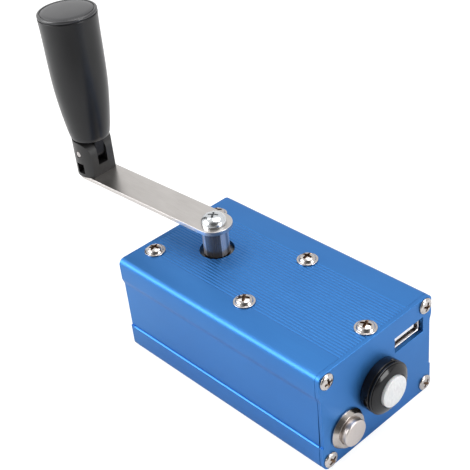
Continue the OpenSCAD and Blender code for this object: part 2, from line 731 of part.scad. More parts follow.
// Both idler shafts, held in the two plates, with a collar under each idler
collar_r = 2.4;
module idler_shafts() color(steel) {
    for (at = [idler1_at, idler2_at]) at_axis(at, gearbox_low)
        cylinder(d = idler_shaft_d, h = gearbox_top - gearbox_low);
    at_axis(idler1_at, pillar_low) cylinder(r = collar_r, h = wheel1_z - pillar_low - thin_gap);
    at_axis(idler2_at, pillar_low) cylinder(r = collar_r, h = wheel2_z - pillar_low - thin_gap);
    at_axis(idler2_at, wheel1_z + wheel_t + gap + thin_gap)
        cylinder(r = collar_r, h = pillar_top - wheel1_z - wheel_t - gap - thin_gap);
}

// The generator under the lower plate
motor_top = gearbox_low;
motor_h = motor_top - floor_wall - motor_floor_gap;
motor_low = motor_top - motor_h;
rotor_shaft_d = 2;
can_t = 0.8;
cap_h = 1.6;
cap_plug_h = 1;
// Radii of the core's hole, its slots and the coils' heads, as shares of the core's radius
core_hole_share = 0.6;
slot_in_share = 0.68;
slot_out_share = 0.9;
slot_w_share = 0.2;
coil_out_share = 0.94;
coil_in_share = 0.65;
// Room that the end cap and the coils take above and below the core, and the magnet's extra length
core_room = 9.2;
magnet_over = 1.1;
core_h = motor_h - core_room;
coil_h = 1.8;
tooth_count = 6;
magnet_h = core_h + magnet_over;
motor_bearing_r = 2.2;
motor_bearing_h = 1.6;
core_z = motor_low + (motor_h - core_h) / 2;
core_r = motor_d / 2 - can_t;
core_hole_r = core_r * core_hole_share;
magnet_r = core_hole_r - gap;

module motor_pinion() color(brass) at_axis(motor_at, wheel2_z - thin_gap)
    gear(pinion_teeth, wheel_t + 2 * thin_gap, rotor_shaft_d / 2, gap_turn(motor_turn, pinion_teeth));

module rotor_shaft() color(steel) at_axis(motor_at, motor_low + thin_gap)
    cylinder(d = rotor_shaft_d, h = wheel2_z + wheel_t + gap - motor_low - thin_gap);

module rotor_magnet() color("#55565a") at_axis(motor_at, core_z + core_h / 2 - magnet_h / 2)
    tube(magnet_r, rotor_shaft_d / 2, magnet_h);

module motor_can() color("#b9bcc0") at_axis(motor_at, 0) difference() {
    union() {
        translate([0, 0, motor_low + cap_h]) cylinder(d = motor_d, h = motor_h - cap_h);
        translate([0, 0, motor_top - thin_gap]) cylinder(r = motor_boss_r, h = motor_boss_h + thin_gap);
    }
    translate([0, 0, motor_low]) cylinder(r = motor_d / 2 - can_t, h = motor_h - can_t);
    translate([0, 0, motor_top - can_t - over])
        cylinder(r = motor_bearing_r, h = motor_boss_h + can_t + 2 * over);
    for (s = [-1, 1]) translate([0, s * motor_screw_reach, motor_top - can_t - over])
        cylinder(d = motor_screw_d, h = can_t + 2 * over);
}

// The end cap closes the can from below and carries the two solder tags
tag_w = 2;
tag_t = 0.5;
tag_in = 4;
tag_out = 1;
tag_h = 1;
motor_tag_y = [-7, -5];
module motor_cap() color(black) at_axis(motor_at, motor_low) {
    difference() {
        union() {
            cylinder(d = motor_d, h = cap_h);
            translate([0, 0, cap_h - thin_gap]) cylinder(r = motor_d / 2 - can_t, h = cap_plug_h + thin_gap);
        }
        translate([0, 0, -over]) cylinder(r = motor_bearing_r, h = cap_h + cap_plug_h + 2 * over);
    }
    for (y = motor_tag_y) translate([motor_d / 2 - tag_in, y - tag_t / 2, (cap_h - tag_h) / 2])
        cube([tag_in + tag_out, tag_t, tag_h]);
}

module motor_bearings() color(brass) at_axis(motor_at, 0) {
    translate([0, 0, motor_low])
        tube(motor_bearing_r, rotor_shaft_d / 2 + running, cap_h + cap_plug_h);
    translate([0, 0, motor_top - can_t])
        tube(motor_bearing_r, rotor_shaft_d / 2 + running, can_t + motor_boss_h);
}

module stator_core() color("#8b8e93") at_axis(motor_at, core_z) difference() {
    cylinder(r = core_r, h = core_h);
    translate([0, 0, -over]) cylinder(r = core_hole_r, h = core_h + 2 * over);
    for (k = [0:tooth_count - 1]) rotate([0, 0, 360 / tooth_count * (k + 0.5)])
        translate([core_r * slot_in_share, -core_r * slot_w_share / 2, -over])
            cube([core_r * (slot_out_share - slot_in_share), core_r * slot_w_share, core_h + 2 * over]);
}

// The coils' heads, which lie on both faces of the core
module stator_coils() color(copper) at_axis(motor_at, 0) for (z = [core_z - coil_h, core_z + core_h])
    translate([0, 0, z]) tube(core_r * coil_out_share, core_r * coil_in_share, coil_h);

module motor_screws() color(nickel) for (s = [-1, 1])
    at_axis(motor_at + [0, s * motor_screw_reach], pillar_low)
        screw(pan_head_shares, motor_screw_head_d, motor_screw_head_h, motor_screw_d, motor_screw_len);

// The circuit board, which slides in the upper shell and hangs from the board screw

board_len = 24.05;
board_x1 = shell_x - gap;
board_x0 = board_x1 - board_len;
board_half_w = inner_half_w - gap;
spacer_r = 2.8;
nut_w = 5.5;
nut_t = 2.4;
board_screw_len = body_h - board_z + nut_t + gap;

module circuit_board() color("#1f6b3a") difference() {
    translate([board_x0, -board_half_w, board_z]) cube([board_x1 - board_x0, 2 * board_half_w, board_t]);
    translate([board_screw_x, 0, board_z - over]) cylinder(d = screw_d + 2 * loose, h = board_t + 2 * over);
}

module board_spacer() color(brass) translate([board_screw_x, 0, board_z + board_t])
    tube(spacer_r, screw_d / 2 + loose, top_in - board_z - board_t);

module board_nut() color(nickel) translate([board_screw_x, 0, board_z - nut_t]) difference() {
    rotate([0, 0, 30]) cylinder(r = nut_w / 2 / cos(30), h = nut_t, $fn = 6);
    translate([0, 0, -over]) cylinder(d = screw_d + 2 * running, h = nut_t + 2 * over);
}

// The socket: a bent metal shell round an insulator whose tongue carries four contacts
usb_len = 14;
usb_t = 0.35;
usb_mouth_x = shell_x - thin_gap;
usb_low = board_z - usb_h;
usb_back_t = 3;
tongue_w = 11.1;
usb_tongue_t = 1.84;
// How far the tongue's end lies behind the shell's mouth, and its height above the shell's floor
tongue_back = 1;
tongue_up = 1.2;
contact_w = 1.2;
contact_t = 0.15;
contact_len = 7;
contact_pitch = 2.2;

module usb_shell() color("#cfd2d6") difference() {
    translate([usb_mouth_x - usb_len, usb_y - usb_w / 2, usb_low]) cube([usb_len, usb_w, usb_h]);
    translate([usb_mouth_x - usb_len + usb_t, usb_y - usb_w / 2 + usb_t, usb_low + usb_t])
        cube([usb_len, usb_w - 2 * usb_t, usb_h - 2 * usb_t]);
}

module usb_insert() color("#e9e6df") {
    translate([usb_mouth_x - usb_len + usb_t, usb_y - usb_w / 2 + usb_t, usb_low + usb_t])
        cube([usb_back_t, usb_w - 2 * usb_t, usb_h - 2 * usb_t]);
    translate([usb_mouth_x - usb_len + usb_back_t, usb_y - tongue_w / 2, usb_low + tongue_up])
        cube([usb_len - usb_back_t - tongue_back, tongue_w, usb_tongue_t]);
}

module usb_contacts() color(brass) for (k = [-1.5:1.5])
    translate([usb_mouth_x - tongue_back - contact_len - gap, usb_y + k * contact_pitch - contact_w / 2,
        usb_low + tongue_up + usb_tongue_t]) cube([contact_len, contact_w, contact_t]);

// What hangs under the board: two capacitors, three chips and a coil
can_cap_r = 3.9;
can_cap_h = 9;
coil_r = 4.4;
power_coil_h = 4.6;
coil_flange_share = 0.2;
coil_waist_share = 0.85;
// Where they sit, as shares of the board's length and of half its width
can_cap_shares = [[0.208, -0.055], [0.208, 0.335]];
power_coil_share = [0.2245, 0.74];
chip_shares = [[0.582, -0.855], [0.54, -0.449], [0.54, 0.103]];
function on_board(share) = [board_x0 + board_len * share[0], board_half_w * share[1]];
chip_size = [[5, 6.2, 1.8], [5, 4, 1.5], [4.4, 3.6, 2.2]];

module board_capacitors() color("#3a3f6b") for (p = can_cap_shares) at_axis(on_board(p), board_z - can_cap_h)
    cylinder(r = can_cap_r, h = can_cap_h);

module board_chips() color("#222326") for (i = [0:len(chip_shares) - 1])
    at_axis(on_board(chip_shares[i]), board_z - chip_size[i][2]) cube(chip_size[i]);

module power_coil() color(copper) at_axis(on_board(power_coil_share), board_z - power_coil_h) {
    cylinder(r = coil_r * coil_waist_share, h = power_coil_h);
    for (z = [0, power_coil_h * (1 - coil_flange_share)]) translate([0, 0, z])
        cylinder(r = coil_r, h = power_coil_h * coil_flange_share);
}

// The lamp: a black head with a threaded barrel through the plate, a window, a reflector and an LED

lamp_flange_t = 3;
lamp_groove_t = 0.6;
lamp_groove_in = 0.5;
// The cone in front of the head and the narrow rim where it ends
lamp_cone_h = 1;
lamp_face_d = 11.8;
lamp_barrel_len = 11;
lamp_bore_r = 6.3;
lamp_lens_t = 3.2;
// Half the thickness of the window's edge, which is held in the bore
lens_back = 0.5;
// How far the domed window stands out from the rim, and its outline as shares of its radius and of that
lens_proud = 1.4;
lens_shares = [[1, 0.5], [0.97, 0.66], [0.88, 0.8], [0.6, 0.94], [0, 1]];
lamp_nut_d = 16.6;
lamp_nut_t = 2.2;
reflector_len = 6.5;
reflector_wall = 0.6;
reflector_eye_r = 2.4;
led_board_t = 1.2;
led_r = 1.6;
led_h = 1;

lens_at = lamp_out + lens_proud - lamp_lens_t;
lamp_rim_at = lamp_out - lamp_cone_h;
lamp_back = -plate_t - lamp_barrel_len;

module lamp_bezel() color(black) facing(front_x, lamp_y, lamp_z) difference() {
    rotate_extrude() polygon([
        [0, lamp_back], [lamp_barrel_d / 2, lamp_back], [lamp_barrel_d / 2, 0],
        [lamp_head_d / 2, 0], [lamp_head_d / 2, lamp_flange_t],
        [lamp_head_d / 2 - lamp_groove_in, lamp_flange_t],
        [lamp_head_d / 2 - lamp_groove_in, lamp_flange_t + lamp_groove_t],
        [lamp_head_d / 2, lamp_flange_t + lamp_groove_t], [lamp_head_d / 2, lamp_rim_at],
        [lamp_face_d / 2, lamp_out], [0, lamp_out]]);
    translate([0, 0, lamp_back - over]) cylinder(r = lamp_bore_r, h = lens_at + lens_back - lamp_back + over);
    cylinder(d = lamp_window_d + 2 * running, h = lamp_out + over);
}

module lamp_lens() color("#f4f4f2") facing(front_x, lamp_y, lamp_z) {
    translate([0, 0, lens_at - lens_back]) cylinder(r = lamp_bore_r, h = 2 * lens_back);
    rotate_extrude() polygon(concat(
        [[0, lens_at], [lamp_window_d / 2, lens_at]],
        [for (p = lens_shares) [lamp_window_d / 2 * p[0], lamp_out + lens_proud * p[1]]]));
}

module lamp_reflector() color("#d9dadc") facing(front_x, lamp_y, lamp_z) rotate_extrude() polygon([
    [reflector_eye_r, lens_at - lens_back - reflector_len],
    [reflector_eye_r + reflector_wall, lens_at - lens_back - reflector_len],
    [lamp_bore_r, lens_at - lens_back - reflector_len / 3],
    [lamp_bore_r, lens_at - lens_back],
    [lamp_bore_r - reflector_wall, lens_at - lens_back]]);

module lamp_led() color("#f0d060") facing(front_x, lamp_y, lamp_z) {
    translate([0, 0, lens_at - lens_back - reflector_len - led_board_t])
        cylinder(r = lamp_bore_r, h = led_board_t);
    translate([0, 0, lens_at - lens_back - reflector_len - thin_gap])
        cylinder(r = led_r, h = led_h + thin_gap);
}

module lamp_nut() color(black) facing(shell_x - lamp_nut_t, lamp_y, lamp_z)
    tube(lamp_nut_d / 2, lamp_barrel_d / 2 + running, lamp_nut_t);

// The push button: a threaded metal body, a cap held under its rim, a return spring and a nut

button_bevel = 1;
button_bevel_from = 0.5;
button_barrel_len = 12;
button_wall = 0.7;
button_floor = 2;
// Height of the underside of the rim that keeps the cap in
button_rim_low = 0.4;
button_nut_w = 13.4;
button_nut_t = 2.2;
skirt_h = 1.7;
plunger_r = 1.8;
plunger_len = 5;
button_tag_len = 3.5;
button_tag_y = 2.4;
button_bore_r = button_barrel_d / 2 - button_wall;
skirt_top = button_rim_low - running;
body_back = -plate_t - button_barrel_len;
spring_foot = body_back + button_floor;

module button_body() color(nickel) facing(front_x, button_y, button_z) {
    difference() {
        rotate_extrude() polygon([
            [0, body_back], [button_barrel_d / 2, body_back], [button_barrel_d / 2, 0],
            [button_flange_d / 2, 0], [button_flange_d / 2, button_bevel_from],
            [button_flange_d / 2 - button_bevel, button_flange_t], [0, button_flange_t]]);
        translate([0, 0, spring_foot]) cylinder(r = button_bore_r, h = button_rim_low - spring_foot);
        cylinder(d = button_cap_d + 2 * running, h = button_flange_t + over);
    }
    for (s = [-1, 1]) translate([-tag_w / 2, s * button_tag_y - tag_t / 2, body_back - button_tag_len])
        cube([tag_w, tag_t, button_tag_len + thin_gap]);
}

module button_cap() color(nickel) facing(front_x, button_y, button_z) {
    translate([0, 0, skirt_top - skirt_h])
        cylinder(d = button_cap_d, h = button_cap_out - skirt_top + skirt_h);
    translate([0, 0, skirt_top - skirt_h]) cylinder(r = button_bore_r - running, h = skirt_h);
    translate([0, 0, skirt_top - skirt_h - plunger_len]) cylinder(r = plunger_r, h = plunger_len + thin_gap);
}

// The return spring, drawn as short as it gets when the cap is pressed home
spring_wire = 0.5;
spring_r = 2.9;
spring_turns = 5;
spring_steps = 12;
spring_sides = 6;
spring_len = skirt_top - skirt_h - button_travel - spring_foot - 2 * thin_gap;
spring_count = spring_turns * spring_steps;
spring_points = [for (i = [0:spring_count]) let (a = 360 * i / spring_steps)
    [spring_r * cos(a), spring_r * sin(a),
        spring_foot + thin_gap / 2 + spring_wire / 2 + (spring_len - spring_wire) * i / spring_count]];

module button_spring() color(steel) facing(front_x, button_y, button_z) polyhedron(
    points = [for (c = spring_points) let (out = unit([c[0], c[1], 0]))
        each [for (k = [0:spring_sides - 1]) let (a = 360 * k / spring_sides)
            c + spring_wire / 2 * (cos(a) * out + sin(a) * [0, 0, 1])]],
    faces = concat(
        [[for (k = [spring_sides - 1:-1:0]) k]],
        [for (i = [0:spring_count - 1], k = [0:spring_sides - 1])
            [i * spring_sides + k, i * spring_sides + (k + 1) % spring_sides,
                (i + 1) * spring_sides + (k + 1) % spring_sides, (i + 1) * spring_sides + k]],
        [[for (k = [0:spring_sides - 1]) spring_count * spring_sides + k]]));

module button_nut() color(nickel) facing(shell_x - button_nut_t, button_y, button_z) difference() {
    cylinder(r = button_nut_w / 2 / cos(30), h = button_nut_t, $fn = 6);
    translate([0, 0, -over]) cylinder(d = button_barrel_d + 2 * running, h = button_nut_t + 2 * over);
}

// The leads inside the box, along their real routes: along the box and up to the board

lead_d = 1.2;
generator_route = [[15.9, 5.8], [17, 5.8], [18.3, 6.6], [18.9, 8], [19, 14], [19, 21], [19.4, 25],
    [20.6, 28], [21.2, 29.6], [21.2, 30.9]];
generator_lead_y = [-7.8, -5.8];
lamp_route = [[41.3, 18.5], [40, 18.5], [36, 18.5], [32.4, 18.5], [31, 19.4], [30.4, 21], [30.2, 25],
    [30.2, 29.6], [30.2, 30.9]];
lamp_lead_y = [-1.2, 2];
button_route = [[28.8, 10.9], [27.6, 10.9], [26.3, 11.8], [25.8, 13.4], [25.8, 20], [25.8, 29.6],
    [25.8, 30.9]];
button_lead_y = [-17.4, -12.6];

// Two leads side by side along one route
module lead_pair(route, ys) for (y = ys) lead([for (p = route) [p[0], y, p[1]]], lead_d);

module generator_leads() color("#b03030") lead_pair(generator_route, generator_lead_y);
module lamp_leads() color("#c0c0c0") lead_pair(lamp_route, lamp_lead_y);
module button_leads() color("#303030") lead_pair(button_route, button_lead_y);

upper_shell();
lower_shell();
front_plate();
rear_plate();
front_plate_screws();
rear_plate_screws();
gearbox_screws();
board_screw();
crank_hub();
crank_arm();
crank_screw();
output_shaft();
hinge_base();
hinge_base_screw();
hinge_pin();
handle_stem();
stem_washer();
stem_screw();
grip();
grip_cap();
gearbox_top_plate();
gearbox_low_plate();
gearbox_pillars();
gearbox_plate_screws();
shaft_bush_upper();
shaft_bush_lower();
crank_gear();
first_idler();
second_idler();
idler_shafts();
motor_pinion();
rotor_shaft();
rotor_magnet();
motor_can();
motor_cap();
motor_bearings();
stator_core();
stator_coils();
motor_screws();
circuit_board();
board_spacer();
board_nut();
usb_shell();
usb_insert();
usb_contacts();
board_capacitors();
board_chips();
power_coil();
lamp_bezel();
lamp_lens();
lamp_reflector();
lamp_led();
lamp_nut();
button_body();
button_cap();
button_spring();
button_nut();
generator_leads();
lamp_leads();
button_leads();
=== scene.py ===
import math
import bmesh
import bpy
from mathutils import Matrix, Vector


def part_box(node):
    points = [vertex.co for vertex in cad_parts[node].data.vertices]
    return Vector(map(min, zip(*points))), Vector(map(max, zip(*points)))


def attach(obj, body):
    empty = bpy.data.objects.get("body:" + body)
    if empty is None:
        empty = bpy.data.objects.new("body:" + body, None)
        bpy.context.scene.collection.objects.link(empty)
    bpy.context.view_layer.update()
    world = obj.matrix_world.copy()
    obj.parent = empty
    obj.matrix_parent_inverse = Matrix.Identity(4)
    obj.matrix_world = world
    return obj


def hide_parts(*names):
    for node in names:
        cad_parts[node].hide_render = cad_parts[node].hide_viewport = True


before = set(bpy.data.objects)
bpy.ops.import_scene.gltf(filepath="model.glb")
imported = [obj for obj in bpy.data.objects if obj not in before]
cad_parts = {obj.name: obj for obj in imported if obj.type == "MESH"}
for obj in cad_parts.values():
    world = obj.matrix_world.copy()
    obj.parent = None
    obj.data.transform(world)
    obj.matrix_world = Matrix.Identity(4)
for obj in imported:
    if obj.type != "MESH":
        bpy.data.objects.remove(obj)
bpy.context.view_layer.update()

# Two extruded shells
# The box is two extrusions of aluminium, satin anodised in blue, that meet at a seam low on the sides.
# They are sawn to length not quite square, so a narrow gap shows beside the front plate, and are deburred.
# Shallow flutes run along the top.
MM = 0.001
SHELL_BLUE = (0.040, 0.178, 0.465, 1)
SHELL_BLUE_DEEP = (0.036, 0.162, 0.435, 1)
SHELL_END = 44.35
WAIST_TOP = 27.3
SEAM = 9.6
UPPER_GAP = 0.35
LOWER_GAP = 0.14
FLUTED_HALF = 16
FLUTE_DEPTH = 0.21
FLUTE_RAISED_SHARE = 0.4
LEDGE = 0.3
SHELL_EASE = 0.12
WELD = 0.002


class Level:
    """A socket that carries a number. A sum on it adds Math nodes."""

    def __init__(self, finish, socket):
        self.finish, self.socket = finish, socket

    def maths(self, how, a, b):
        return self.finish.maths(how, a, b)

    def __add__(self, other):
        return self.maths("ADD", self, other)

    def __radd__(self, other):
        return self.maths("ADD", other, self)

    def __sub__(self, other):
        return self.maths("SUBTRACT", self, other)

    def __rsub__(self, other):
        return self.maths("SUBTRACT", other, self)

    def __mul__(self, other):
        return self.maths("MULTIPLY", self, other)

    def __rmul__(self, other):
        return self.maths("MULTIPLY", other, self)


class Finish:
    """The surface of one kind of stock: its shader, and the patterns that lie on it."""

    def __init__(self, name, owner=None):
        self.material = owner or bpy.data.materials.new(name)
        self.material.use_nodes = True
        self.tree = self.material.node_tree
        self.tree.nodes.clear()
        self.place = self.add("ShaderNodeTexCoord", {}, {}, "Object")

    def add(self, kind, settings, sockets, give=0):
        """One node of a kind, with its settings and its sockets' values or links, as the level it gives."""
        node = self.tree.nodes.new(kind)
        for key, value in settings.items():
            setattr(node, key, value)
        for key, value in sockets.items():
            if isinstance(value, Level):
                self.tree.links.new(value.socket, node.inputs[key])
            else:
                node.inputs[key].default_value = value
        return Level(self, node.outputs[give]) if node.outputs else None

    def maths(self, how, a, b):
        return self.add("ShaderNodeMath", {"operation": how}, {0: a, 1: b})

    def grain(self, size, along=(1, 1, 1), detail=2.0, turn=(0, 0, 0)):
        """Noise with features of that size in millimetres, drawn out by those factors on each axis."""
        spread = self.add("ShaderNodeMapping", {}, {
            "Vector": self.place, "Rotation": turn, "Scale": [1 / (size * MM * a) for a in along]})
        return self.add("ShaderNodeTexNoise", {"noise_dimensions": "3D"}, {
            "Vector": spread, "Scale": 1.0, "Detail": detail, "Roughness": 0.55}, "Fac")

    def band(self, level, low, high):
        """Stretches a level's range from low and high to 0 and 1, and holds it between them."""
        return self.add("ShaderNodeMapRange", {}, {"Value": level, "From Min": low, "From Max": high})

    def blend(self, level, first, second):
        """A colour that goes from first to second with a level."""
        return self.add("ShaderNodeMix", {"data_type": "RGBA"}, {0: level, 6: first, 7: second}, 2)

    def relief(self, level, height, strength=1.0):
        """A bump whose height is given in millimetres."""
        return self.add("ShaderNodeBump", {}, {
            "Height": level, "Distance": height * MM, "Strength": strength}, "Normal")

    def settle(self, **sockets):
        """Closes the finish with its shader. Underscores stand for spaces in the names of its sockets."""
        spaced = {key.replace("_", " "): value for key, value in sockets.items()}
        shader = self.add("ShaderNodeBsdfPrincipled", {}, spaced)
        self.add("ShaderNodeOutputMaterial", {}, {"Surface": shader})
        return self.material


def blue_anodised(name, along):
    """Satin blue anodised aluminium, with drawing lines along the axis that has the large factor."""
    skin = Finish(name)
    lines = skin.grain(0.28, along, 3.0)
    cloud = skin.grain(16, (2.2, 1, 1), 2.0)
    pores = skin.grain(0.09, (1, 1, 1), 1.0)
    return skin.settle(
        Base_Color=skin.blend(skin.band(cloud * 0.7 + lines * 0.3, 0.35, 0.65), SHELL_BLUE_DEEP, SHELL_BLUE),
        Metallic=0.92,
        Roughness=0.39 + lines * 0.05 + pores * 0.04,
        Normal=skin.relief(lines * 0.6 + pores * 0.4, 0.002, 0.3))


def as_object(work, name, finish, body, *nodes, slot, sharp=30):
    """Hangs a finished piece on its body, in place of the nodes that it stands for."""
    mesh = bpy.data.meshes.new(name)
    work.to_mesh(mesh)
    work.free()
    if "custom_normal" in mesh.attributes:
        mesh.attributes.remove(mesh.attributes["custom_normal"])
    for face in mesh.polygons:
        face.use_smooth = True
    mesh.set_sharp_from_angle(angle=math.radians(sharp))
    mesh.materials.append(finish)
    piece = bpy.data.objects.new(name, mesh)
    bpy.context.scene.collection.objects.link(piece)
    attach(piece, body)
    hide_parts(*nodes)
    return piece


def copied(node):
    """A copy of a node's shape with its loose triangles merged."""
    work = bmesh.new()
    work.from_mesh(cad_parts[node].data)
    bmesh.ops.remove_doubles(work, verts=work.verts, dist=WELD * MM)
    bmesh.ops.dissolve_limit(work, angle_limit=math.radians(0.4), verts=work.verts, edges=work.edges)
    return work


def eased(work, node, finish, body, slot, ease=0.15, rounds=2, corner=50, sharp=20):
    """Hangs a copy of a node on its body with its corners broken, in millimetres."""
    piece = as_object(work, node + "_dressed", finish, body, node, slot=slot, sharp=sharp)
    edge = piece.modifiers.new("broken corners", "BEVEL")
    edge.width = ease * MM
    edge.segments = rounds
    edge.limit_method = "ANGLE"
    edge.angle_limit = math.radians(corner)
    edge.harden_normals = False
    return piece


extruded_blue = blue_anodised("extruded_blue", (90, 1, 1))
upper = copied("upper_shell")
lid_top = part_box("upper_shell")[1].z
for v in upper.verts:
    if v.co.x > (SHELL_END - 0.01) * MM and v.co.z < WAIST_TOP * MM:
        v.co.x -= UPPER_GAP * MM * (WAIST_TOP - v.co.z / MM) / (WAIST_TOP - SEAM)
    sunk = lid_top - v.co.z
    if abs(v.co.y) < FLUTED_HALF * MM and sunk < FLUTE_DEPTH * MM:
        v.co.z += sunk * FLUTE_RAISED_SHARE
eased(upper, "upper_shell", extruded_blue, "housing", "blue_shell", ease=SHELL_EASE, corner=58,
      sharp=15)
lower = copied("lower_shell")
for v in lower.verts:
    if v.co.x > (SHELL_END - 0.01) * MM:
        v.co.x -= LOWER_GAP * MM
foot = max(v.co.y for v in lower.verts)
ledges = [e for e in lower.edges if all(abs(abs(v.co.y) - foot) < 0.01 * MM and v.co.z > (SEAM - 0.01) * MM
                                        for v in e.verts) and e.calc_length() > 20 * MM]
bmesh.ops.bevel(lower, geom=ledges, offset=LEDGE * MM, segments=1, profile=0.5, affect="EDGES", material=-1)
eased(lower, "lower_shell", extruded_blue, "housing", "blue_shell", ease=SHELL_EASE, corner=58)

# End plates
# Each end is closed by a plate punched from sheet of the same aluminium and anodised with the shells.
# The front one has the openings for the socket, the lamp and the push button.
plate_blue = blue_anodised("plate_blue", (1, 1, 1))
for node in ("front_plate", "rear_plate"):
    eased(copied(node), node, plate_blue, "housing", "blue_shell", ease=0.22, rounds=3, corner=40)

# Gearbox frame
# Two steel plates on four turned brass pillars hang under the lid and carry the gear train.
# Flanged bushes of oiled bronze are pressed into both plates for the crank shaft.
# The plates' steel and the bushes' oiled bronze are coloured dark. This is partly their own colour and partly
# painted shade for where they show in the lid's hole round the hub.
PLATE_STEEL_SHADED = (0.20, 0.195, 0.19, 1)
PLATE_STEEL_SHADED_DULL = (0.15, 0.147, 0.145, 1)
BRASS = (0.60, 0.42, 0.16, 1)
BRASS_DULL = (0.48, 0.33, 0.13, 1)
BUSH_BRONZE_SHADED = (0.10, 0.065, 0.035, 1)
BUSH_BRONZE_SHADED_DULL = (0.06, 0.04, 0.025, 1)


def bare_metal(name, bright, dull, rough, size=0.3, along=(1, 1, 1), height=0.003):
    """Bare or plated metal with fine marks, whose colour goes between two tones."""
    skin = Finish(name)
    marks = skin.grain(size, along, 3.0)
    tone = skin.grain(size * 18, (1, 1, 1), 2.0)
    return skin.settle(
        Base_Color=skin.blend(skin.band(tone * 0.6 + marks * 0.4, 0.35, 0.65), dull, bright),
        Metallic=1.0,
        Roughness=rough + (marks - 0.4) * 0.1,
        Normal=skin.relief(marks, height, 0.4))


def keep(finish, *nodes):
    """Gives nodes that keep their own shape their finish."""
    for node in nodes:
        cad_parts[node].data.materials.clear()
        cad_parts[node].data.materials.append(finish)


frame_steel_and_shade = bare_metal("frame_steel_and_shade", PLATE_STEEL_SHADED, PLATE_STEEL_SHADED_DULL, 0.42, 0.35, (12, 1, 1))
bush_bronze_and_shade = bare_metal("bush_bronze_and_shade", BUSH_BRONZE_SHADED, BUSH_BRONZE_SHADED_DULL, 0.42, 0.2, (1, 1, 0.3))
turned_brass = bare_metal("turned_brass", BRASS, BRASS_DULL, 0.26, 0.2, (1, 1, 0.3))
keep(frame_steel_and_shade, "gearbox_top_plate", "gearbox_low_plate", "idler_shafts")
keep(turned_brass, "gearbox_pillars")
keep(bush_bronze_and_shade, "shaft_bush_upper", "shaft_bush_lower")

# Gear train
# The crank gear is cut from steel and sits on the crank shaft. The two idlers and the small pinion are
# hobbed from brass, and the idlers turn on steel shafts between the plates.
GEAR_STEEL = (0.50, 0.49, 0.48, 1)
GEAR_STEEL_DULL = (0.40, 0.39, 0.385, 1)
GEAR_BRASS = (0.64, 0.46, 0.18, 1)
GEAR_BRASS_DULL = (0.52, 0.36, 0.14, 1)
gear_steel = bare_metal("gear_steel", GEAR_STEEL, GEAR_STEEL_DULL, 0.3, 0.25, (1, 1, 5))
gear_brass = bare_metal("gear_brass", GEAR_BRASS, GEAR_BRASS_DULL, 0.28, 0.25, (1, 1, 5))
keep(gear_steel, "crank_gear", "output_shaft", "rotor_shaft")
keep(gear_brass, "first_idler", "second_idler", "motor_pinion")

# Generator
# A drawn steel can, nickel plated, is closed from below by a moulded cap with two solder tags.
# Inside are the laminated core with its coils, the ring magnet on its shaft and two plain bearings.
ROTOR_X = 4.4
ROTOR_Y = -0.8
COPPER = (0.50, 0.17, 0.06, 1)
COPPER_DEEP = (0.20, 0.055, 0.02, 1)
can_plating = bare_metal("can_plating", (0.50, 0.50, 0.52, 1), (0.42, 0.42, 0.44, 1), 0.3, 0.3, (1, 1, 8))
core_sheets = Finish("core_sheets")
sheet_edges = core_sheets.add("ShaderNodeTexWave", {"wave_type": "BANDS", "bands_direction": "Z"}, {
    "Vector": core_sheets.place, "Scale": 640.0, "Distortion": 0.3}, "Fac")
core_sheets.settle(
    Base_Color=core_sheets.blend(sheet_edges, (0.12, 0.12, 0.125, 1), (0.30, 0.30, 0.31, 1)),
    Metallic=0.9, Roughness=0.42, Normal=core_sheets.relief(sheet_edges, 0.03))
coil_wire = Finish("coil_wire")
round_rotor = coil_wire.add("ShaderNodeMapping", {}, {
    "Vector": coil_wire.place, "Location": (-ROTOR_X * MM, -ROTOR_Y * MM, 0)})
wire_turns = coil_wire.add("ShaderNodeTexWave", {"wave_type": "RINGS", "rings_direction": "Z"}, {
    "Vector": round_rotor, "Scale": 800.0, "Distortion": 0.6}, "Fac")
coil_wire.settle(
    Base_Color=coil_wire.blend(wire_turns, COPPER_DEEP, COPPER),
    Metallic=0.85, Roughness=0.34, Coat_Weight=0.5, Normal=coil_wire.relief(wire_turns, 0.06))
ferrite = bare_metal("ferrite", (0.085, 0.085, 0.09, 1), (0.06, 0.06, 0.065, 1), 0.55, 0.15)


def moulded(name, colour, shade, rough, size=0.14, height=0.006, coat=0.0):
    """Moulded plastic with the fine skin of its mould."""
    skin = Finish(name)
    skin_grain = skin.grain(size, (1, 1, 1), 3.0)
    flow = skin.grain(9, (1, 1, 2.5), 2.0)
    return skin.settle(
        Base_Color=skin.blend(skin.band(flow, 0.38, 0.62), shade, colour),
        Roughness=rough + (skin_grain - 0.5) * 0.1,
        Coat_Weight=coat,
        Normal=skin.relief(skin_grain, height, 0.5))


cap_plastic = moulded("cap_plastic", (0.02, 0.02, 0.022, 1), (0.014, 0.014, 0.016, 1), 0.45)
keep(can_plating, "motor_can")
keep(cap_plastic, "motor_cap")
keep(turned_brass, "motor_bearings")
keep(core_sheets.material, "stator_core")
keep(coil_wire.material, "stator_coils")
keep(ferrite, "rotor_magnet")

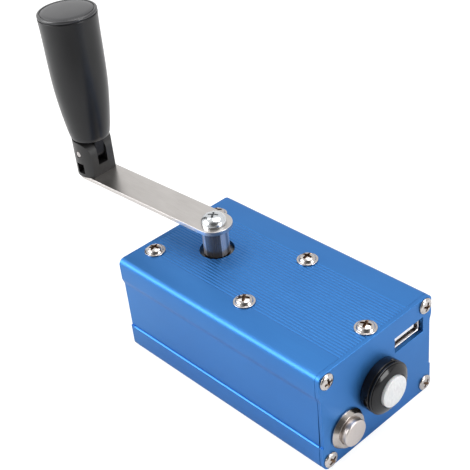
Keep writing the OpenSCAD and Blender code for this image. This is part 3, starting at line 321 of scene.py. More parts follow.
# Circuit board
# A glass fibre board under green lacquer slides between the rails of the upper shell.
# It carries two can capacitors, three chips and a wound coil, and hangs from one screw, spacer and nut.
BOARD_GREEN = (0.02, 0.19, 0.075, 1)
BOARD_GREEN_DEEP = (0.012, 0.13, 0.045, 1)
lacquer = Finish("lacquer")
weave = lacquer.add("ShaderNodeTexBrick", {"offset": 0.5}, {
    "Vector": lacquer.place, "Scale": 380.0, "Mortar Size": 0.06,
    "Color1": (0.55, 0.55, 0.55, 1), "Color2": (0.75, 0.75, 0.75, 1), "Mortar": (0, 0, 0, 1)}, "Fac")
lacquer.settle(
    Base_Color=lacquer.blend(weave * 0.5 + lacquer.grain(4) * 0.4, BOARD_GREEN_DEEP, BOARD_GREEN),
    Roughness=0.3, Coat_Weight=0.4, Normal=lacquer.relief(weave, 0.02))
can_sleeve = moulded("can_sleeve", (0.045, 0.055, 0.17, 1), (0.035, 0.042, 0.13, 1), 0.32, 0.3)
chip_resin = moulded("chip_resin", (0.018, 0.018, 0.02, 1), (0.012, 0.012, 0.014, 1), 0.55, 0.08, 0.01)
keep(lacquer.material, "circuit_board")
keep(can_sleeve, "board_capacitors")
keep(chip_resin, "board_chips")
keep(coil_wire.material, "power_coil")
keep(turned_brass, "board_spacer")

# Socket
# The metal shell of the socket is folded from tinned sheet with round corners and stands just behind its
# slot. The insulator inside is moulded in one with the tongue that carries the four gilt contacts.
USB_WALL = 0.35
USB_CORNER = 0.75
USB_FLARE = 0.34
USB_SHADED_TO = 43.6
USB_BRIGHT_FROM = 44.0


def sheet_tube(low, high, wall, corner, flare):
    """A folded tube of sheet along X between two corners of its box, in millimetres, with a flared mouth."""
    work = bmesh.new()
    work.faces.new([work.verts.new((low.x, y, z)) for y, z in (
        (low.y, low.z), (high.y, low.z), (high.y, high.z), (low.y, high.z))])
    bmesh.ops.bevel(work, geom=work.verts[:], offset=corner, segments=5, profile=0.5, affect="VERTICES",
                    material=-1)
    plug = work.faces[:]
    bmesh.ops.inset_region(work, faces=plug, thickness=wall, use_even_offset=True, use_boundary=True)
    inside = [e.verts[0].co.to_tuple(3)[1:] for e in plug[0].edges]
    bmesh.ops.delete(work, geom=plug, context="FACES")
    grown = bmesh.ops.extrude_face_region(work, geom=work.faces[:])["geom"]
    bmesh.ops.translate(work, verts=[v for v in grown if isinstance(v, bmesh.types.BMVert)],
                        vec=(high.x - low.x, 0, 0))
    mouth = [e for e in work.edges
             if all(v.co.x > high.x - 0.01 and v.co.to_tuple(3)[1:] in inside for v in e.verts)]
    bmesh.ops.bevel(work, geom=mouth, offset=flare, segments=3, profile=0.5, affect="EDGES", material=-1)
    bmesh.ops.recalc_face_normals(work, faces=work.faces)
    work.transform(Matrix.Scale(MM, 4))
    return work


tinned = Finish("tinned")
sheet_marks = tinned.grain(0.3, (14, 1, 1), 3.0)
# The shell's colour is painted darker inside the socket, behind its mouth, as painted shade; at the mouth it
# has the tin's own colour.
along_socket = tinned.add("ShaderNodeSeparateXYZ", {}, {0: tinned.place}, "X")
bright_lip = tinned.blend(sheet_marks, (0.78, 0.75, 0.73, 1), (0.90, 0.87, 0.85, 1))
tinned.settle(
    Base_Color=tinned.blend(tinned.band(along_socket, USB_SHADED_TO * MM, USB_BRIGHT_FROM * MM),
                            (0.26, 0.215, 0.19, 1), bright_lip),
    Metallic=1.0, Roughness=0.24 + sheet_marks * 0.1, Normal=tinned.relief(sheet_marks, 0.003, 0.4))
tongue_white = moulded("tongue_white", (0.84, 0.84, 0.85, 1), (0.78, 0.78, 0.79, 1), 0.42)
gilt = bare_metal("gilt", (0.86, 0.62, 0.24, 1), (0.72, 0.50, 0.18, 1), 0.22, 0.2, (10, 1, 1))
usb_low, usb_high = (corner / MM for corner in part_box("usb_shell"))
as_object(sheet_tube(usb_low, usb_high, USB_WALL, USB_CORNER, USB_FLARE), "usb_sheet_shell", tinned.material,
          "housing", "usb_shell", slot="plated")
eased(copied("usb_insert"), "usb_insert", tongue_white, "housing", "white_plastic", ease=0.12)
keep(gilt, "usb_contacts")

# Lamp
# The lamp's head is turned from aluminium and anodised black, with a groove and a round shoulder that runs in
# to the domed white window. Its threaded barrel passes the plate and is held by a ring nut.
LAMP_HEAD_R = 9.0
LAMP_BARREL_R = 7.5
LAMP_WINDOW_R = 5.35
LAMP_BARREL = 11
PLATE_T = 1.5
FROSTED_WHITE = (0.60, 0.61, 0.61, 1)
FROSTED_GREY = (0.44, 0.45, 0.46, 1)


def lathe(profile, steps=72, closed=False):
    """Turns an outline of radius and height, in millimetres, round the Z axis."""
    work = bmesh.new()
    line = [work.verts.new((r, 0, z)) for r, z in profile]
    edges = [work.edges.new(pair) for pair in zip(line, line[1:])]
    if closed:
        edges.append(work.edges.new((line[-1], line[0])))
    bmesh.ops.spin(work, geom=line + edges, cent=(0, 0, 0), axis=(0, 0, 1), angle=math.tau, steps=steps,
                   use_merge=True)
    bmesh.ops.remove_doubles(work, verts=work.verts, dist=1e-4)
    bmesh.ops.recalc_face_normals(work, faces=work.faces)
    return work


def set_in_place(work, place):
    """Moves a piece drawn in millimetres to its place on the object."""
    work.transform(Matrix.Scale(MM, 4) @ place)
    return work


def arc(r, z, radius, start, end, steps=6):
    """Points of a round edge in an outline, about a centre, between two angles in degrees."""
    angles = [math.radians(start + (end - start) * i / steps) for i in range(steps + 1)]
    return [(r + radius * math.cos(a), z + radius * math.sin(a)) for a in angles]


def thread(radius, low, high, pitch, depth):
    """The outline of a thread from low to high, with a chamfer at its free end."""
    points = [(radius - 2 * depth, low), (radius - depth, low + depth)]
    turns = int((high - low - 2 * depth) / pitch)
    for i in range(turns):
        points += [(radius, low + 2 * depth + pitch * (i + 0.1)),
                   (radius, low + 2 * depth + pitch * (i + 0.3)),
                   (radius - depth, low + 2 * depth + pitch * (i + 0.7))]
    return points + [(radius, high - 0.02), (radius, high)]


def plate_place(y, z):
    """Stands a piece on the outside of the front plate, with its axis along X."""
    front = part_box("front_plate")[1].x / MM
    return Matrix.Translation((front, y, z)) @ Matrix.Rotation(math.pi / 2, 4, "Y")


def middle(node):
    """The middle of a node's box, in millimetres."""
    low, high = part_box(node)
    return (low + high) / (2 * MM)


glossy_black = Finish("glossy_black")
turning_marks = glossy_black.grain(0.12, (1, 1, 1), 2.0)
glossy_black.settle(
    Base_Color=glossy_black.blend(turning_marks, (0.004, 0.004, 0.005, 1), (0.008, 0.008, 0.009, 1)),
    Roughness=0.08 + turning_marks * 0.08, Specular_IOR_Level=0.26,
    Normal=glossy_black.relief(turning_marks, 0.002, 0.25))
lamp_at = middle("lamp_bezel")
lamp_place = plate_place(lamp_at.y, lamp_at.z)
LAMP_BACK = -PLATE_T - LAMP_BARREL
bezel = lathe(
    [(6.35, LAMP_BACK)] + thread(LAMP_BARREL_R, LAMP_BACK, -PLATE_T - 0.1, 0.75, 0.16)
    + [(LAMP_BARREL_R, 0), (8.8, 0)] + arc(LAMP_HEAD_R - 0.25, 0.25, 0.25, -70, 0, 3)
    + arc(LAMP_HEAD_R - 0.3, 2.7, 0.3, 0, 80, 4)
    + [(8.5, 3.02), (8.5, 3.55)] + arc(LAMP_HEAD_R - 0.15, 3.72, 0.15, -80, 0, 3)
    + [(LAMP_HEAD_R * math.cos(a) + 0.02 * math.sin(a), 3.82 + 0.68 * math.sin(a))
       for a in [math.radians(x) for x in (4, 8, 12, 16, 20)]]
    + [(8.55, 4.24), (8.15, 4.5), (7.6, 4.8), (7.0, 5.06), (6.45, 5.26)] + arc(5.9, 5.24, 0.25, 70, 90, 3)
    + [(5.6, 5.46), (5.42, 5.28), (5.42, 4.21), (6.33, 4.21)],
    closed=True)
as_object(set_in_place(bezel, lamp_place), "lamp_head", glossy_black.material, "housing", "lamp_bezel",
          slot="lamp_black", sharp=35)

frosted = Finish("frosted")
frosting = frosted.grain(0.25, (1, 1, 7), 3.0)
frosted.settle(
    Base_Color=frosted.blend(frosted.band(frosting, 0.3, 0.7), FROSTED_GREY, FROSTED_WHITE),
    Roughness=0.32 + frosting * 0.12, Subsurface_Weight=0.12, Subsurface_Scale=0.002, Coat_Weight=0.25,
    Coat_Roughness=0.2, Normal=frosted.relief(frosting, 0.01, 0.4))
window = lathe([(0, 3.2), (6.3, 3.2), (6.3, 4.2), (LAMP_WINDOW_R, 4.2), (LAMP_WINDOW_R, 6.1)]
               + arc(LAMP_WINDOW_R - 0.3, 6.14, 0.3, 10, 65, 4)
               + [(4.6, 6.56), (3.9, 6.68), (3.0, 6.79), (2.0, 6.86), (1.0, 6.89), (0, 6.9)])
as_object(set_in_place(window, lamp_place), "lamp_window", frosted.material, "housing", "lamp_lens",
          slot="window")
bright_lining = bare_metal("bright_lining", (0.86, 0.86, 0.87, 1), (0.80, 0.80, 0.81, 1), 0.14, 0.3)
led_resin = moulded("led_resin", (0.80, 0.60, 0.10, 1), (0.74, 0.53, 0.08, 1), 0.35)
black_anodised = bare_metal("black_anodised", (0.02, 0.02, 0.022, 1), (0.014, 0.014, 0.016, 1), 0.4, 0.3)
keep(bright_lining, "lamp_reflector")
keep(led_resin, "lamp_led")
keep(black_anodised, "lamp_nut")

# Push button
# The body is turned from brass and nickel plated, with a wide bevelled flange and a fine thread.
# The cap is held under the flange's rim, stands out on its spring, and has a brushed face.
FLANGE_R = 6.9
BARREL_R = 5.9
CAP_R = 4.55
BUTTON_BARREL = 12
NICKEL = (0.48, 0.44, 0.41, 1)
NICKEL_DULL = (0.38, 0.345, 0.32, 1)
flange_nickel = bare_metal("flange_nickel", NICKEL, NICKEL_DULL, 0.16, 0.22, (1, 1, 1), 0.002)
button_at = middle("button_cap")
button_place = plate_place(button_at.y, button_at.z)
BUTTON_BACK = -PLATE_T - BUTTON_BARREL
barrel = lathe(
    [(0, BUTTON_BACK), (5.2, BUTTON_BACK)] + thread(BARREL_R, BUTTON_BACK, -PLATE_T - 0.1, 0.75, 0.15)
    + [(BARREL_R, 0), (6.75, 0), (FLANGE_R, 0.15), (FLANGE_R, 0.42)] + arc(6.76, 0.52, 0.13, 0, 40, 3)
    + arc(5.85, 1.82, 0.16, 40, 90, 3)
    + [(4.75, 2.0), (4.6, 1.85), (4.6, 0.4), (5.2, 0.4), (5.2, BUTTON_BACK + 2), (0, BUTTON_BACK + 2)])
for side in (-1, 1):
    tag = bmesh.ops.create_cube(barrel, size=1)["verts"]
    bmesh.ops.scale(barrel, verts=tag, vec=(2, 0.5, 3.5))
    bmesh.ops.translate(barrel, verts=tag, vec=(0, side * 2.4, BUTTON_BACK - 1.74))
as_object(set_in_place(barrel, button_place), "button_barrel", flange_nickel, "housing", "button_body",
          slot="plated", sharp=35)

brushed_nickel = Finish("brushed_nickel")
brush = brushed_nickel.grain(0.1, (1, 1, 40), 3.0, (math.radians(38), 0, 0))
brushed_nickel.settle(
    Base_Color=brushed_nickel.blend(brush, (0.50, 0.455, 0.43, 1), (0.60, 0.55, 0.52, 1)), Metallic=1.0,
    Roughness=0.3 + brush * 0.12, Normal=brushed_nickel.relief(brush, 0.004, 0.5))
plunger = lathe(
    [(0, -6.35), (1.6, -6.35), (1.8, -6.15), (1.8, -1.35), (5.1, -1.35), (5.15, -1.3), (5.15, 0.3),
     (5.1, 0.35), (CAP_R, 0.35)] + arc(CAP_R - 0.42, 3.48, 0.42, 0, 90, 6) + [(2, 3.9), (0, 3.9)])
as_object(set_in_place(plunger, button_place), "button_plunger", brushed_nickel.material, "button",
          "button_cap", slot="plated")
spring_wire = bare_metal("spring_wire", (0.48, 0.47, 0.46, 1), (0.38, 0.37, 0.365, 1), 0.3, 0.15)
nut_nickel = bare_metal("nut_nickel", NICKEL, NICKEL_DULL, 0.28, 0.25)
keep(spring_wire, "button_spring")
keep(nut_nickel, "button_nut", "board_nut")

# Leads
# Three pairs of stranded leads with vinyl jackets run from the generator, the lamp and the push button up
# to the board.
jacket_red = moulded("jacket_red", (0.42, 0.02, 0.018, 1), (0.34, 0.015, 0.014, 1), 0.42)
jacket_grey = moulded("jacket_grey", (0.45, 0.45, 0.45, 1), (0.38, 0.38, 0.38, 1), 0.42)
jacket_black = moulded("jacket_black", (0.02, 0.02, 0.02, 1), (0.014, 0.014, 0.014, 1), 0.42)
keep(jacket_red, "generator_leads")
keep(jacket_grey, "lamp_leads")
keep(jacket_black, "button_leads")

# Screws of the box and the gearbox
# Nickel plated steel screws with pressed cross recesses. The lid screws have a round head on a thin rim,
# and the screws of the end plates and inside the gearbox have plain round heads.
RIM_R = 3.6
PAN_R = 2.75
SHANK_R = 1.45
LID_SHANK = 8
BOARD_SHANK = 9.8
PLATE_SHANK = 9
RIM_CROSS = (4.4, 1.0, 1.4)
PAN_CROSS = (3.5, 0.85, 1.0)
SCREW_NICKEL = (0.57, 0.535, 0.515, 1)
SCREW_NICKEL_DULL = (0.44, 0.41, 0.39, 1)
# The recess colour is painted shade in the cross recesses.
SCREW_RECESS_SHADE = (0.24, 0.16, 0.11, 1)


def screw_plating(name, bright, dull, recess, rough):
    """Plating on a screw. Its pressed recess is painted darker, as painted shade, and is duller than its
    head.
    """
    skin = Finish(name)
    marks = skin.grain(0.3, (1, 1, 1), 3.0)
    pressed = skin.add("ShaderNodeAttribute", {"attribute_name": "pressed"}, {}, "Fac")
    return skin.settle(
        Base_Color=skin.blend(pressed, skin.blend(skin.band(marks, 0.35, 0.65), dull, bright), recess),
        Metallic=1.0,
        Roughness=rough + marks * 0.08 + pressed * 0.25,
        Normal=skin.relief(marks, 0.002, 0.4))


nickel_plate = screw_plating("nickel_plate", SCREW_NICKEL, SCREW_NICKEL_DULL, SCREW_RECESS_SHADE, 0.12)


def mesh_object(work):
    """A rough piece of work as an object, for as long as it is cut."""
    mesh = bpy.data.meshes.new("rough")
    work.to_mesh(mesh)
    rough = bpy.data.objects.new("rough", mesh)
    bpy.context.scene.collection.objects.link(rough)
    return rough


def cut_away(work, tool):
    """Takes the tool's shape out of the work and gives the cut work back."""
    block, cutter = mesh_object(work), mesh_object(tool)
    cut = block.modifiers.new("cut", "BOOLEAN")
    cut.operation, cut.solver, cut.object = "DIFFERENCE", "EXACT", cutter
    shaped = bmesh.new()
    shaped.from_mesh(block.evaluated_get(bpy.context.evaluated_depsgraph_get()).to_mesh())
    for rough in (block, cutter):
        bpy.data.objects.remove(rough)
    work.free()
    tool.free()
    return shaped


def cross_punch(length, width, depth, top, turn):
    """One tapered wing of the punch for a cross recess. Its length and width hold at the head's top."""
    wing = bmesh.new()
    bmesh.ops.create_cube(wing, size=1)
    for v in wing.verts:
        share = 1 + 1 / depth if v.co.z > 0 else 0
        v.co = (v.co.x * length * (0.4 + 0.6 * share), v.co.y * width * (0.7 + 0.3 * share),
                top - depth + depth * share)
    wing.transform(Matrix.Rotation(turn, 4, "Z"))
    return wing


def cross_screw(head, shank_r, shank_len, length, width, depth):
    """A screw along Z with its head above z = 0, in millimetres. The head is an outline from its rim up."""
    top = head[-1][1]
    screw = lathe([(0, -shank_len)] + thread(shank_r, -shank_len, 0, 0.5, 0.14) + [(head[0][0], 0)] + head)
    for turn in (0, math.pi / 2):
        screw = cut_away(screw, cross_punch(length, width, depth, top, turn))
    pressed = screw.faces.layers.float.new("pressed")
    for face in screw.faces:
        centre = face.calc_center_median()
        out = math.hypot(centre.x, centre.y)
        over = [(a, b) for a, b in zip(head, head[1:]) if b[0] <= out <= a[0]]
        surface = min((a[1] + (b[1] - a[1]) * (a[0] - out) / max(a[0] - b[0], 1e-6) for a, b in over),
                      default=0)
        face[pressed] = float(out < length * 0.6 and top - depth - 0.1 < centre.z < surface - 0.06)
    return screw


def set_of(screw, places):
    """Copies of one screw at several places, as one mesh."""
    one = bpy.data.meshes.new("one screw")
    screw.to_mesh(one)
    screw.free()
    together = bmesh.new()
    for place in places:
        before = len(together.verts)
        together.from_mesh(one)
        together.verts.ensure_lookup_table()
        bmesh.ops.transform(together, matrix=Matrix.Scale(MM, 4) @ place, verts=together.verts[before:])
    return together


rimmed_head = ([(RIM_R - 0.08, 0.0), (RIM_R, 0.1), (RIM_R, 0.28)] + arc(RIM_R - 0.14, 0.3, 0.14, 0, 90, 3)
               + [(2.98, 0.46), (2.86, 0.62)]
               + [(2.84 * math.cos(a), 0.62 + 1.38 * math.sin(a))
                  for a in [math.radians(x) for x in (12, 25, 38, 50, 62, 74, 90)]])
pan_head = ([(PAN_R - 0.08, 0.0), (PAN_R, 0.08), (PAN_R, 0.34)]
            + [(PAN_R * math.cos(a), 0.34 + 0.76 * math.sin(a))
               for a in [math.radians(x) for x in (14, 28, 42, 55, 67, 78, 90)]])
LID_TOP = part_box("upper_shell")[1].z / MM
rear_screw_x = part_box("gearbox_screws")[0].x / MM + RIM_R
front_screw_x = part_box("gearbox_screws")[1].x / MM - RIM_R
screw_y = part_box("gearbox_screws")[1].y / MM - RIM_R
lid_screw_places = [(rear_screw_x, -screw_y, 12), (rear_screw_x, screw_y, -28),
                    (front_screw_x, -screw_y, 38), (front_screw_x, screw_y, 3)]
as_object(set_of(cross_screw(rimmed_head, SHANK_R, LID_SHANK, *RIM_CROSS), [
    Matrix.Translation((x, y, LID_TOP)) @ Matrix.Rotation(math.radians(turn), 4, "Z")
    for x, y, turn in lid_screw_places]),
    "lid_screws", nickel_plate, "housing", "gearbox_screws", slot="plated", sharp=38)
board_screw_at = middle("board_screw")
as_object(set_of(cross_screw(rimmed_head, SHANK_R, BOARD_SHANK, *RIM_CROSS), [
    Matrix.Translation((board_screw_at.x, board_screw_at.y, LID_TOP))
    @ Matrix.Rotation(math.radians(20), 4, "Z")]),
    "lid_board_screw", nickel_plate, "housing", "board_screw", slot="plated", sharp=38)
for node, out in (("front_plate_screws", 1), ("rear_plate_screws", -1)):
    low, high = (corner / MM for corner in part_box(node))
    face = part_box("front_plate")[1].x / MM if out > 0 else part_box("rear_plate")[0].x / MM
    corners = [(y, z) for y in (low.y + PAN_R, high.y - PAN_R) for z in (low.z + PAN_R, high.z - PAN_R)]
    as_object(set_of(cross_screw(pan_head, SHANK_R, PLATE_SHANK, *PAN_CROSS), [
        Matrix.Translation((face, y, z)) @ Matrix.Rotation(out * math.pi / 2, 4, "Y")
        @ Matrix.Rotation(math.radians(turn), 4, "Z") for (y, z), turn in zip(corners, (34, 8, 52, -20))]),
        "end_" + node, nickel_plate, "housing", node, slot="plated", sharp=38)
keep(nickel_plate, "gearbox_plate_screws", "motor_screws")

# Crank hub
# The hub is turned from bright steel and pressed on the crank shaft. It rises through a round hole in the
# lid, has a narrow collar under the arm, and turns the arm by a square tenon.
HUB_R = 4.5
BORE_R = 2.05
TENON = (5, 5, 1.3)
ARM_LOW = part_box("crank_arm")[0].z / MM
ARM_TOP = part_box("crank_arm")[1].z / MM
CRANK_TURN = math.radians(182.57)
ARM_REACH = 61.1
steel_turned = Finish("steel_turned")
lathe_marks = steel_turned.grain(0.09, (60, 60, 1), 3.0)
steel_turned.settle(
    Base_Color=steel_turned.blend(lathe_marks, (0.36, 0.335, 0.325, 1), (0.50, 0.47, 0.46, 1)),
    Metallic=1.0, Roughness=0.2 + lathe_marks * 0.12,
    Normal=steel_turned.relief(lathe_marks, 0.003, 0.5))
hub_steel = Finish("hub_steel")
draw_marks = hub_steel.grain(0.3, (1, 1, 60), 2.0)
# Broad vertical stripes, light and dark, are painted round the hub as a painted reflection of bright and dark
# surroundings; the fine drawing marks under them are real.
painted_reflection_stripes = hub_steel.grain(2.4, (1, 1, 60), 0.0)
hub_steel.settle(
    Base_Color=hub_steel.blend(hub_steel.band(painted_reflection_stripes + draw_marks * 0.06, 0.44, 0.6),
                               (0.62, 0.57, 0.55, 1), (0.15, 0.135, 0.13, 1)),
    Metallic=0.76, Roughness=0.24 + draw_marks * 0.08, Normal=hub_steel.relief(draw_marks, 0.002, 0.4))
hub_axis = Vector((middle("crank_screw").x, middle("crank_screw").y, 0))
hub_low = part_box("crank_hub")[0] / MM
hub_place = Matrix.Translation(hub_axis) @ Matrix.Rotation(CRANK_TURN, 4, "Z")
hub = lathe([(3.05, hub_low.z), (HUB_R - 0.35, hub_low.z)]
            + arc(HUB_R - 0.35, hub_low.z + 0.35, 0.35, -90, 0, 4)
            + [(HUB_R, ARM_LOW - 1.25), (HUB_R - 0.12, ARM_LOW - 1.2), (HUB_R - 0.12, ARM_LOW - 1.02),
               (HUB_R, ARM_LOW - 0.95), (HUB_R, ARM_LOW - 0.1), (HUB_R - 0.1, ARM_LOW), (BORE_R, ARM_LOW),
               (BORE_R, hub_low.z + 2.6), (3.05, hub_low.z + 2.55)], closed=True)
tenon = bmesh.new()
bmesh.ops.create_cube(tenon, size=1)
bmesh.ops.scale(tenon, verts=tenon.verts, vec=TENON)
bmesh.ops.translate(tenon, verts=tenon.verts, vec=(0, 0, ARM_LOW + TENON[2] / 2))
bore = lathe([(0, ARM_LOW - 1), (BORE_R, ARM_LOW - 1), (BORE_R, ARM_TOP + 1), (0, ARM_TOP + 1)], 48)
tenon_mesh = bpy.data.meshes.new("tenon")
tenon = cut_away(tenon, bore)
tenon.to_mesh(tenon_mesh)
tenon.free()
hub.from_mesh(tenon_mesh)
as_object(set_in_place(hub, hub_place), "hub_turned", hub_steel.material, "crank", "crank_hub",
          slot="crank_steel", sharp=35)

# Crank arm
# A flat bar punched from stainless sheet, with round ends and a satin, lightly brushed face.
# Its lower edge is rolled over by the punch, and its upper one is broken.
arm_satin = Finish("arm_satin")
arm_brush = arm_satin.grain(0.16, (26, 1, 1), 3.0, (0, 0, -CRANK_TURN))
arm_haze = arm_satin.grain(7, (2, 1, 1), 2.0)
arm_satin.settle(
    Base_Color=arm_satin.blend(arm_satin.band(arm_haze * 0.5 + arm_brush * 0.5, 0.35, 0.65),
                               (0.50, 0.475, 0.455, 1), (0.58, 0.555, 0.535, 1)),
    Metallic=1.0, Roughness=0.25 + arm_brush * 0.1, Normal=arm_satin.relief(arm_brush, 0.003, 0.35))
eased(copied("crank_arm"), "crank_arm", arm_satin.material, "crank", "crank_steel", ease=0.22,
      rounds=3)

# Crank screw
# A large steel screw with a high round head, zinc plated in a clear blue tone, goes down the bore of the
# hub and holds the arm on it.
CRANK_HEAD_R = 4.35
CRANK_SHANK_R = 1.95
CRANK_SHANK = 7.5
CRANK_CROSS = (3.9, 0.8, 1.9)
ZINC = (0.68, 0.70, 0.72, 1)
ZINC_DULL = (0.58, 0.60, 0.62, 1)
# The recess colour is painted darker than the head, as painted shade in the cross.
ZINC_RECESS_SHADE = (0.50, 0.51, 0.52, 1)
zinc_plate = screw_plating("zinc_plate", ZINC, ZINC_DULL, ZINC_RECESS_SHADE, 0.15)
crank_head = ([(CRANK_HEAD_R - 0.15, 0), (CRANK_HEAD_R, 0.15), (CRANK_HEAD_R, 0.4)]
              + [(CRANK_HEAD_R * math.cos(a) ** 0.85, 0.4 + 2.8 * math.sin(a) ** 0.95)
                 for a in [math.radians(x) for x in range(10, 90, 10)]] + [(0, 3.2)])
as_object(set_of(cross_screw(crank_head, CRANK_SHANK_R, CRANK_SHANK, *CRANK_CROSS), [
    Matrix.Translation((hub_axis.x, hub_axis.y, ARM_TOP)) @ Matrix.Rotation(math.radians(35), 4, "Z")]),
    "arm_screw", zinc_plate, "crank", "crank_screw", slot="plated", sharp=38)

# Hinge base
# The black block is moulded round, with a flat face towards the hub, a slot for the tongue and pockets in
# both sides. A screw from below and two pegs hold it on the arm, and a steel pin crosses its ears.
HINGE_H = 9.1
FOOT_SHANK = 5.1
PIN_R = 1.3
PIN_HALF = 6.8
HINGE_BLACK = (0.010, 0.0095, 0.0095, 1)
HINGE_BLACK_DEEP = (0.007, 0.0068, 0.0068, 1)
handle_place = (Matrix.Translation((hub_axis.x, hub_axis.y, ARM_TOP)) @ Matrix.Rotation(CRANK_TURN, 4, "Z")
                @ Matrix.Translation((ARM_REACH, 0, 0)))
hinge_black = moulded("hinge_black", HINGE_BLACK, HINGE_BLACK_DEEP, 0.4, 0.16, 0.008)
eased(copied("hinge_base"), "hinge_base", hinge_black, "crank", "dark_plastic", ease=0.2, rounds=3,
      corner=40, sharp=25)
under_place = handle_place @ Matrix.Translation((0, 0, -1.5)) @ Matrix.Rotation(math.pi, 4, "X")
as_object(set_of(cross_screw(pan_head, SHANK_R, FOOT_SHANK, *PAN_CROSS), [under_place]), "hinge_foot_screw",
          nickel_plate, "crank", "hinge_base_screw", slot="plated", sharp=38)
pin = lathe([(0, -PIN_HALF), (PIN_R - 0.25, -PIN_HALF), (PIN_R, -PIN_HALF + 0.25), (PIN_R, PIN_HALF - 0.25),
             (PIN_R - 0.25, PIN_HALF), (0, PIN_HALF)], 40)
pin_place = handle_place @ Matrix.Translation((0, 0, HINGE_H)) @ Matrix.Rotation(math.pi / 2, 4, "X")
as_object(set_in_place(pin, pin_place), "hinge_pin_turned", steel_turned.material, "crank", "hinge_pin",
          slot="crank_steel")

# Stem
# A flat tongue of blackened steel on the pin carries a round rod, on which the grip turns under a washer and
# a screw.
OXIDE = (0.030, 0.030, 0.032, 1)
OXIDE_DEEP = (0.018, 0.018, 0.020, 1)
black_oxide = bare_metal("black_oxide", OXIDE, OXIDE_DEEP, 0.4, 0.2, (1, 1, 4))
eased(copied("handle_stem"), "handle_stem", black_oxide, "handle", "blackened", ease=0.12)
keep(steel_turned.material, "stem_washer")
keep(zinc_plate, "stem_screw")

# Grip
# A hollow handle turned from black plastic with a smooth satin skin, narrow at its foot and full at its top.
# A domed cap with a round rim and a fine groove inside it is pushed into its mouth, and a seam parts the two.
GRIP_FOOT_Z = 14.3
GRIP_TOP_Z = 60.6
GRIP_FOOT_R = 7.0
GRIP_TOP_R = 10.35
CAP_TOP_Z = 62.3
BORE_TOP_Z = 54.4
STEM_HOLE_R = 3.08
MOUTH_R = 7.2
GRIP_LINE = [(0.0, -0.02), (0.02, 0.06), (0.08, 0.22), (0.15, 0.36), (0.22, 0.49), (0.3, 0.615),
             (0.4, 0.745), (0.52, 0.835), (0.65, 0.88), (0.78, 0.905), (0.88, 0.93), (0.95, 0.965),
             (1.0, 1.0)]


def flowing(points, steps=4):
    """A smooth line through the points of an outline, each a share of the height and of the widening."""
    line = []
    ends = [points[0]] + points + [points[-1]]
    for before, start, end, after in zip(ends, ends[1:], ends[2:], ends[3:]):
        for i in range(steps):
            t = i / steps
            line.append(tuple(0.5 * (2 * b + (c - a) * t + (2 * a - 5 * b + 4 * c - d) * t * t
                                     + (3 * b - a - 3 * c + d) * t ** 3)
                              for a, b, c, d in zip(before, start, end, after)))
    return line + [points[-1]]


grip_side = [(GRIP_FOOT_R + (GRIP_TOP_R - GRIP_FOOT_R) * out, GRIP_FOOT_Z + (GRIP_TOP_Z - GRIP_FOOT_Z) * up)
             for up, out in flowing(GRIP_LINE)]
grip_black = Finish("grip_black")
grip_skin = grip_black.grain(0.11, (1, 1, 1), 2.0)
grip_touch = grip_black.grain(14, (1, 1, 1.6), 2.0)
grip_black.settle(
    Base_Color=grip_black.blend(grip_black.band(grip_touch, 0.4, 0.6), (0.0065, 0.0065, 0.007, 1),
                                (0.0085, 0.0085, 0.0095, 1)),
    Specular_IOR_Level=0.33,
    Roughness=0.24 + grip_skin * 0.06 + grip_touch * 0.06, Normal=grip_black.relief(grip_skin, 0.004, 0.35))
grip = lathe([(STEM_HOLE_R, GRIP_FOOT_Z), (GRIP_FOOT_R - 0.55, GRIP_FOOT_Z)]
             + arc(GRIP_FOOT_R - 0.5, GRIP_FOOT_Z + 0.45, 0.45, -90, -10, 4)
             + [p for p in grip_side if GRIP_FOOT_Z + 0.6 < p[1] < GRIP_TOP_Z - 0.35]
             + arc(GRIP_TOP_R - 0.2, GRIP_TOP_Z - 0.2, 0.2, 0, 90, 3)
             + [(MOUTH_R, GRIP_TOP_Z), (MOUTH_R, BORE_TOP_Z), (STEM_HOLE_R, BORE_TOP_Z)], 96, closed=True)
as_object(set_in_place(grip, handle_place), "grip_turned", grip_black.material, "grip", "grip",
          slot="dark_plastic", sharp=35)

cap_black = moulded("cap_black", (0.024, 0.024, 0.026, 1), (0.018, 0.018, 0.02, 1), 0.3, 0.12, 0.004, 0.2)
cap_groove = [(9.45, GRIP_TOP_Z + 1.2), (9.36, GRIP_TOP_Z + 0.95), (9.24, GRIP_TOP_Z + 0.95),
              (9.15, GRIP_TOP_Z + 1.2)]
cap = lathe([(5.6, GRIP_TOP_Z - 2.5), (MOUTH_R, GRIP_TOP_Z - 2.5), (MOUTH_R, GRIP_TOP_Z),
             (GRIP_TOP_R - 0.3, GRIP_TOP_Z), (GRIP_TOP_R - 0.3, GRIP_TOP_Z + 0.12)]
            + arc(GRIP_TOP_R - 0.6, GRIP_TOP_Z + 0.72, 0.6, -55, 100, 10) + cap_groove
            + [(9.0, GRIP_TOP_Z + 1.3), (7.4, GRIP_TOP_Z + 1.47), (5.2, GRIP_TOP_Z + 1.6),
               (2.6, CAP_TOP_Z - 0.02), (0, CAP_TOP_Z), (0, GRIP_TOP_Z + 0.1), (5.6, GRIP_TOP_Z + 0.1)],
            96, closed=True)
as_object(set_in_place(cap, handle_place), "grip_end_cap", cap_black, "grip", "grip_cap",
          slot="dark_plastic", sharp=35)

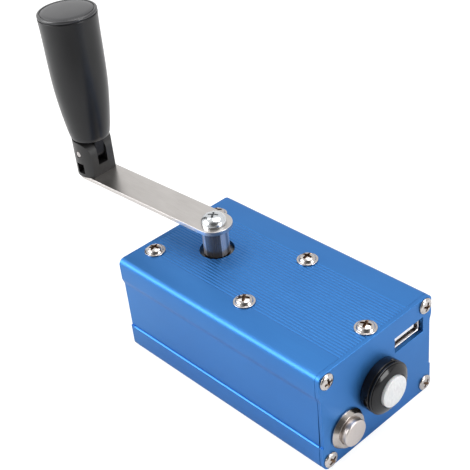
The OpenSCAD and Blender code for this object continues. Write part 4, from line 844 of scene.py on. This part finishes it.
# Studio
# A pale floor, a white surround and soft boxes light the object as for a catalogue picture.
# The camera stands at the socket end and looks down on the box from its near side. Only polished faces see
# a dim surround and a floor painted dark behind it: a painted reflection of a dark room.
to_camera = Vector((0.63550, -0.53280, 0.55880))
floor_shade = Finish("floor_shade")
seen = floor_shade.add("ShaderNodeLightPath", {}, {}, "Is Camera Ray")
mirrored = floor_shade.add("ShaderNodeLightPath", {}, {}, "Is Glossy Ray")
toward = floor_shade.add("ShaderNodeVectorMath", {"operation": "DOT_PRODUCT"}, {
    0: floor_shade.place, 1: (to_camera.x, to_camera.y, 0)}, "Value")
paper = floor_shade.add("ShaderNodeBsdfDiffuse", {}, {"Color": (0.80, 0.80, 0.80, 1)})
# Seen by polished faces, the floor on the camera's side is painted dark, as a painted reflection of a dark
# room.
painted_dark_reflection = floor_shade.add("ShaderNodeBsdfDiffuse", {}, {"Color": (0.16, 0.16, 0.16, 1)})
shadow_paper = floor_shade.add("ShaderNodeBsdfDiffuse", {}, {"Color": (0.26, 0.26, 0.26, 1)})
glow = floor_shade.add("ShaderNodeEmission", {}, {"Color": (1, 1, 1, 1), "Strength": 0.84})
lit_paper = floor_shade.add("ShaderNodeAddShader", {}, {0: shadow_paper, 1: glow})
stage_floor = floor_shade.add("ShaderNodeMixShader", {}, {
    0: mirrored * floor_shade.band(toward, 0.08, 0.2), 1: paper, 2: painted_dark_reflection})
floor_shade.add("ShaderNodeOutputMaterial", {}, {
    "Surface": floor_shade.add("ShaderNodeMixShader", {}, {0: seen, 1: stage_floor, 2: lit_paper})})
paving = bmesh.new()
bmesh.ops.create_circle(paving, cap_ends=True, segments=96, radius=2.5)
floor_mesh = bpy.data.meshes.new("floor")
paving.to_mesh(floor_mesh)
paving.free()
floor_mesh.materials.append(floor_shade.material)
floor = bpy.data.objects.new("floor", floor_mesh)
floor.location.z = -0.00005
bpy.context.scene.collection.objects.link(floor)

bpy.context.scene.world = bpy.data.worlds.new("surround")
sky = Finish("surround", bpy.context.scene.world)
ahead = sky.add("ShaderNodeVectorMath", {"operation": "DOT_PRODUCT"}, {
    0: sky.add("ShaderNodeTexCoord", {}, {}, "Generated"), 1: to_camera}, "Value")
seen_or_through = sky.maths("MAXIMUM", sky.add("ShaderNodeLightPath", {}, {}, "Is Camera Ray"),
                            sky.add("ShaderNodeLightPath", {}, {}, "Is Transmission Ray"))
white, plain, dim = (sky.add("ShaderNodeBackground", {}, {"Color": (1, 1, 1, 1), "Strength": strength})
                     for strength in (1.0, 0.62, 0.12))
shiny = sky.add("ShaderNodeMixShader", {}, {0: sky.band(ahead, 0.62, 0.93), 1: white, 2: dim})
lit = sky.add("ShaderNodeMixShader", {}, {
    0: sky.add("ShaderNodeLightPath", {}, {}, "Is Glossy Ray"), 1: plain, 2: shiny})
sky.add("ShaderNodeOutputWorld", {}, {
    "Surface": sky.add("ShaderNodeMixShader", {}, {0: seen_or_through, 1: lit, 2: white})})


def soft_box(name, at, width, height, watts):
    """A soft box that faces the middle of the object."""
    light = bpy.data.lights.new(name, "AREA")
    light.shape = "RECTANGLE"
    light.size, light.size_y, light.energy = width, height, watts
    box = bpy.data.objects.new(name, light)
    box.location = at
    box.rotation_euler = (Vector((0, 0, 0.03)) - Vector(at)).to_track_quat("-Z", "Y").to_euler()
    bpy.context.scene.collection.objects.link(box)


soft_box("near_left_box", (-0.45, -0.62, 0.46), 0.7, 0.52, 7.2)
soft_box("rear_strip_box", (-0.55, -0.03, 0.66), 0.12, 0.5, 0.5)
soft_box("overhead_box", (0.15, 0.25, 0.95), 0.7, 0.7, 5.6)
soft_box("front_box", (0.5, 0.13, 0.1), 0.2, 0.3, 1.6)

lens = bpy.data.cameras.new("lens")
lens.lens = 79.44
lens.sensor_width = 36
camera = bpy.data.objects.new("camera", lens)
right = Vector((0.68629, 0.72141, -0.09264))
up = Vector((-0.35376, 0.44237, 0.82411))
turned = Matrix((right, up, to_camera)).transposed().to_4x4()
turned.translation = Vector((0.20176, -0.18106, 0.23780))
camera.matrix_world = turned
bpy.context.scene.collection.objects.link(camera)
bpy.context.scene.camera = camera
bpy.context.scene.view_settings.view_transform = "Standard"
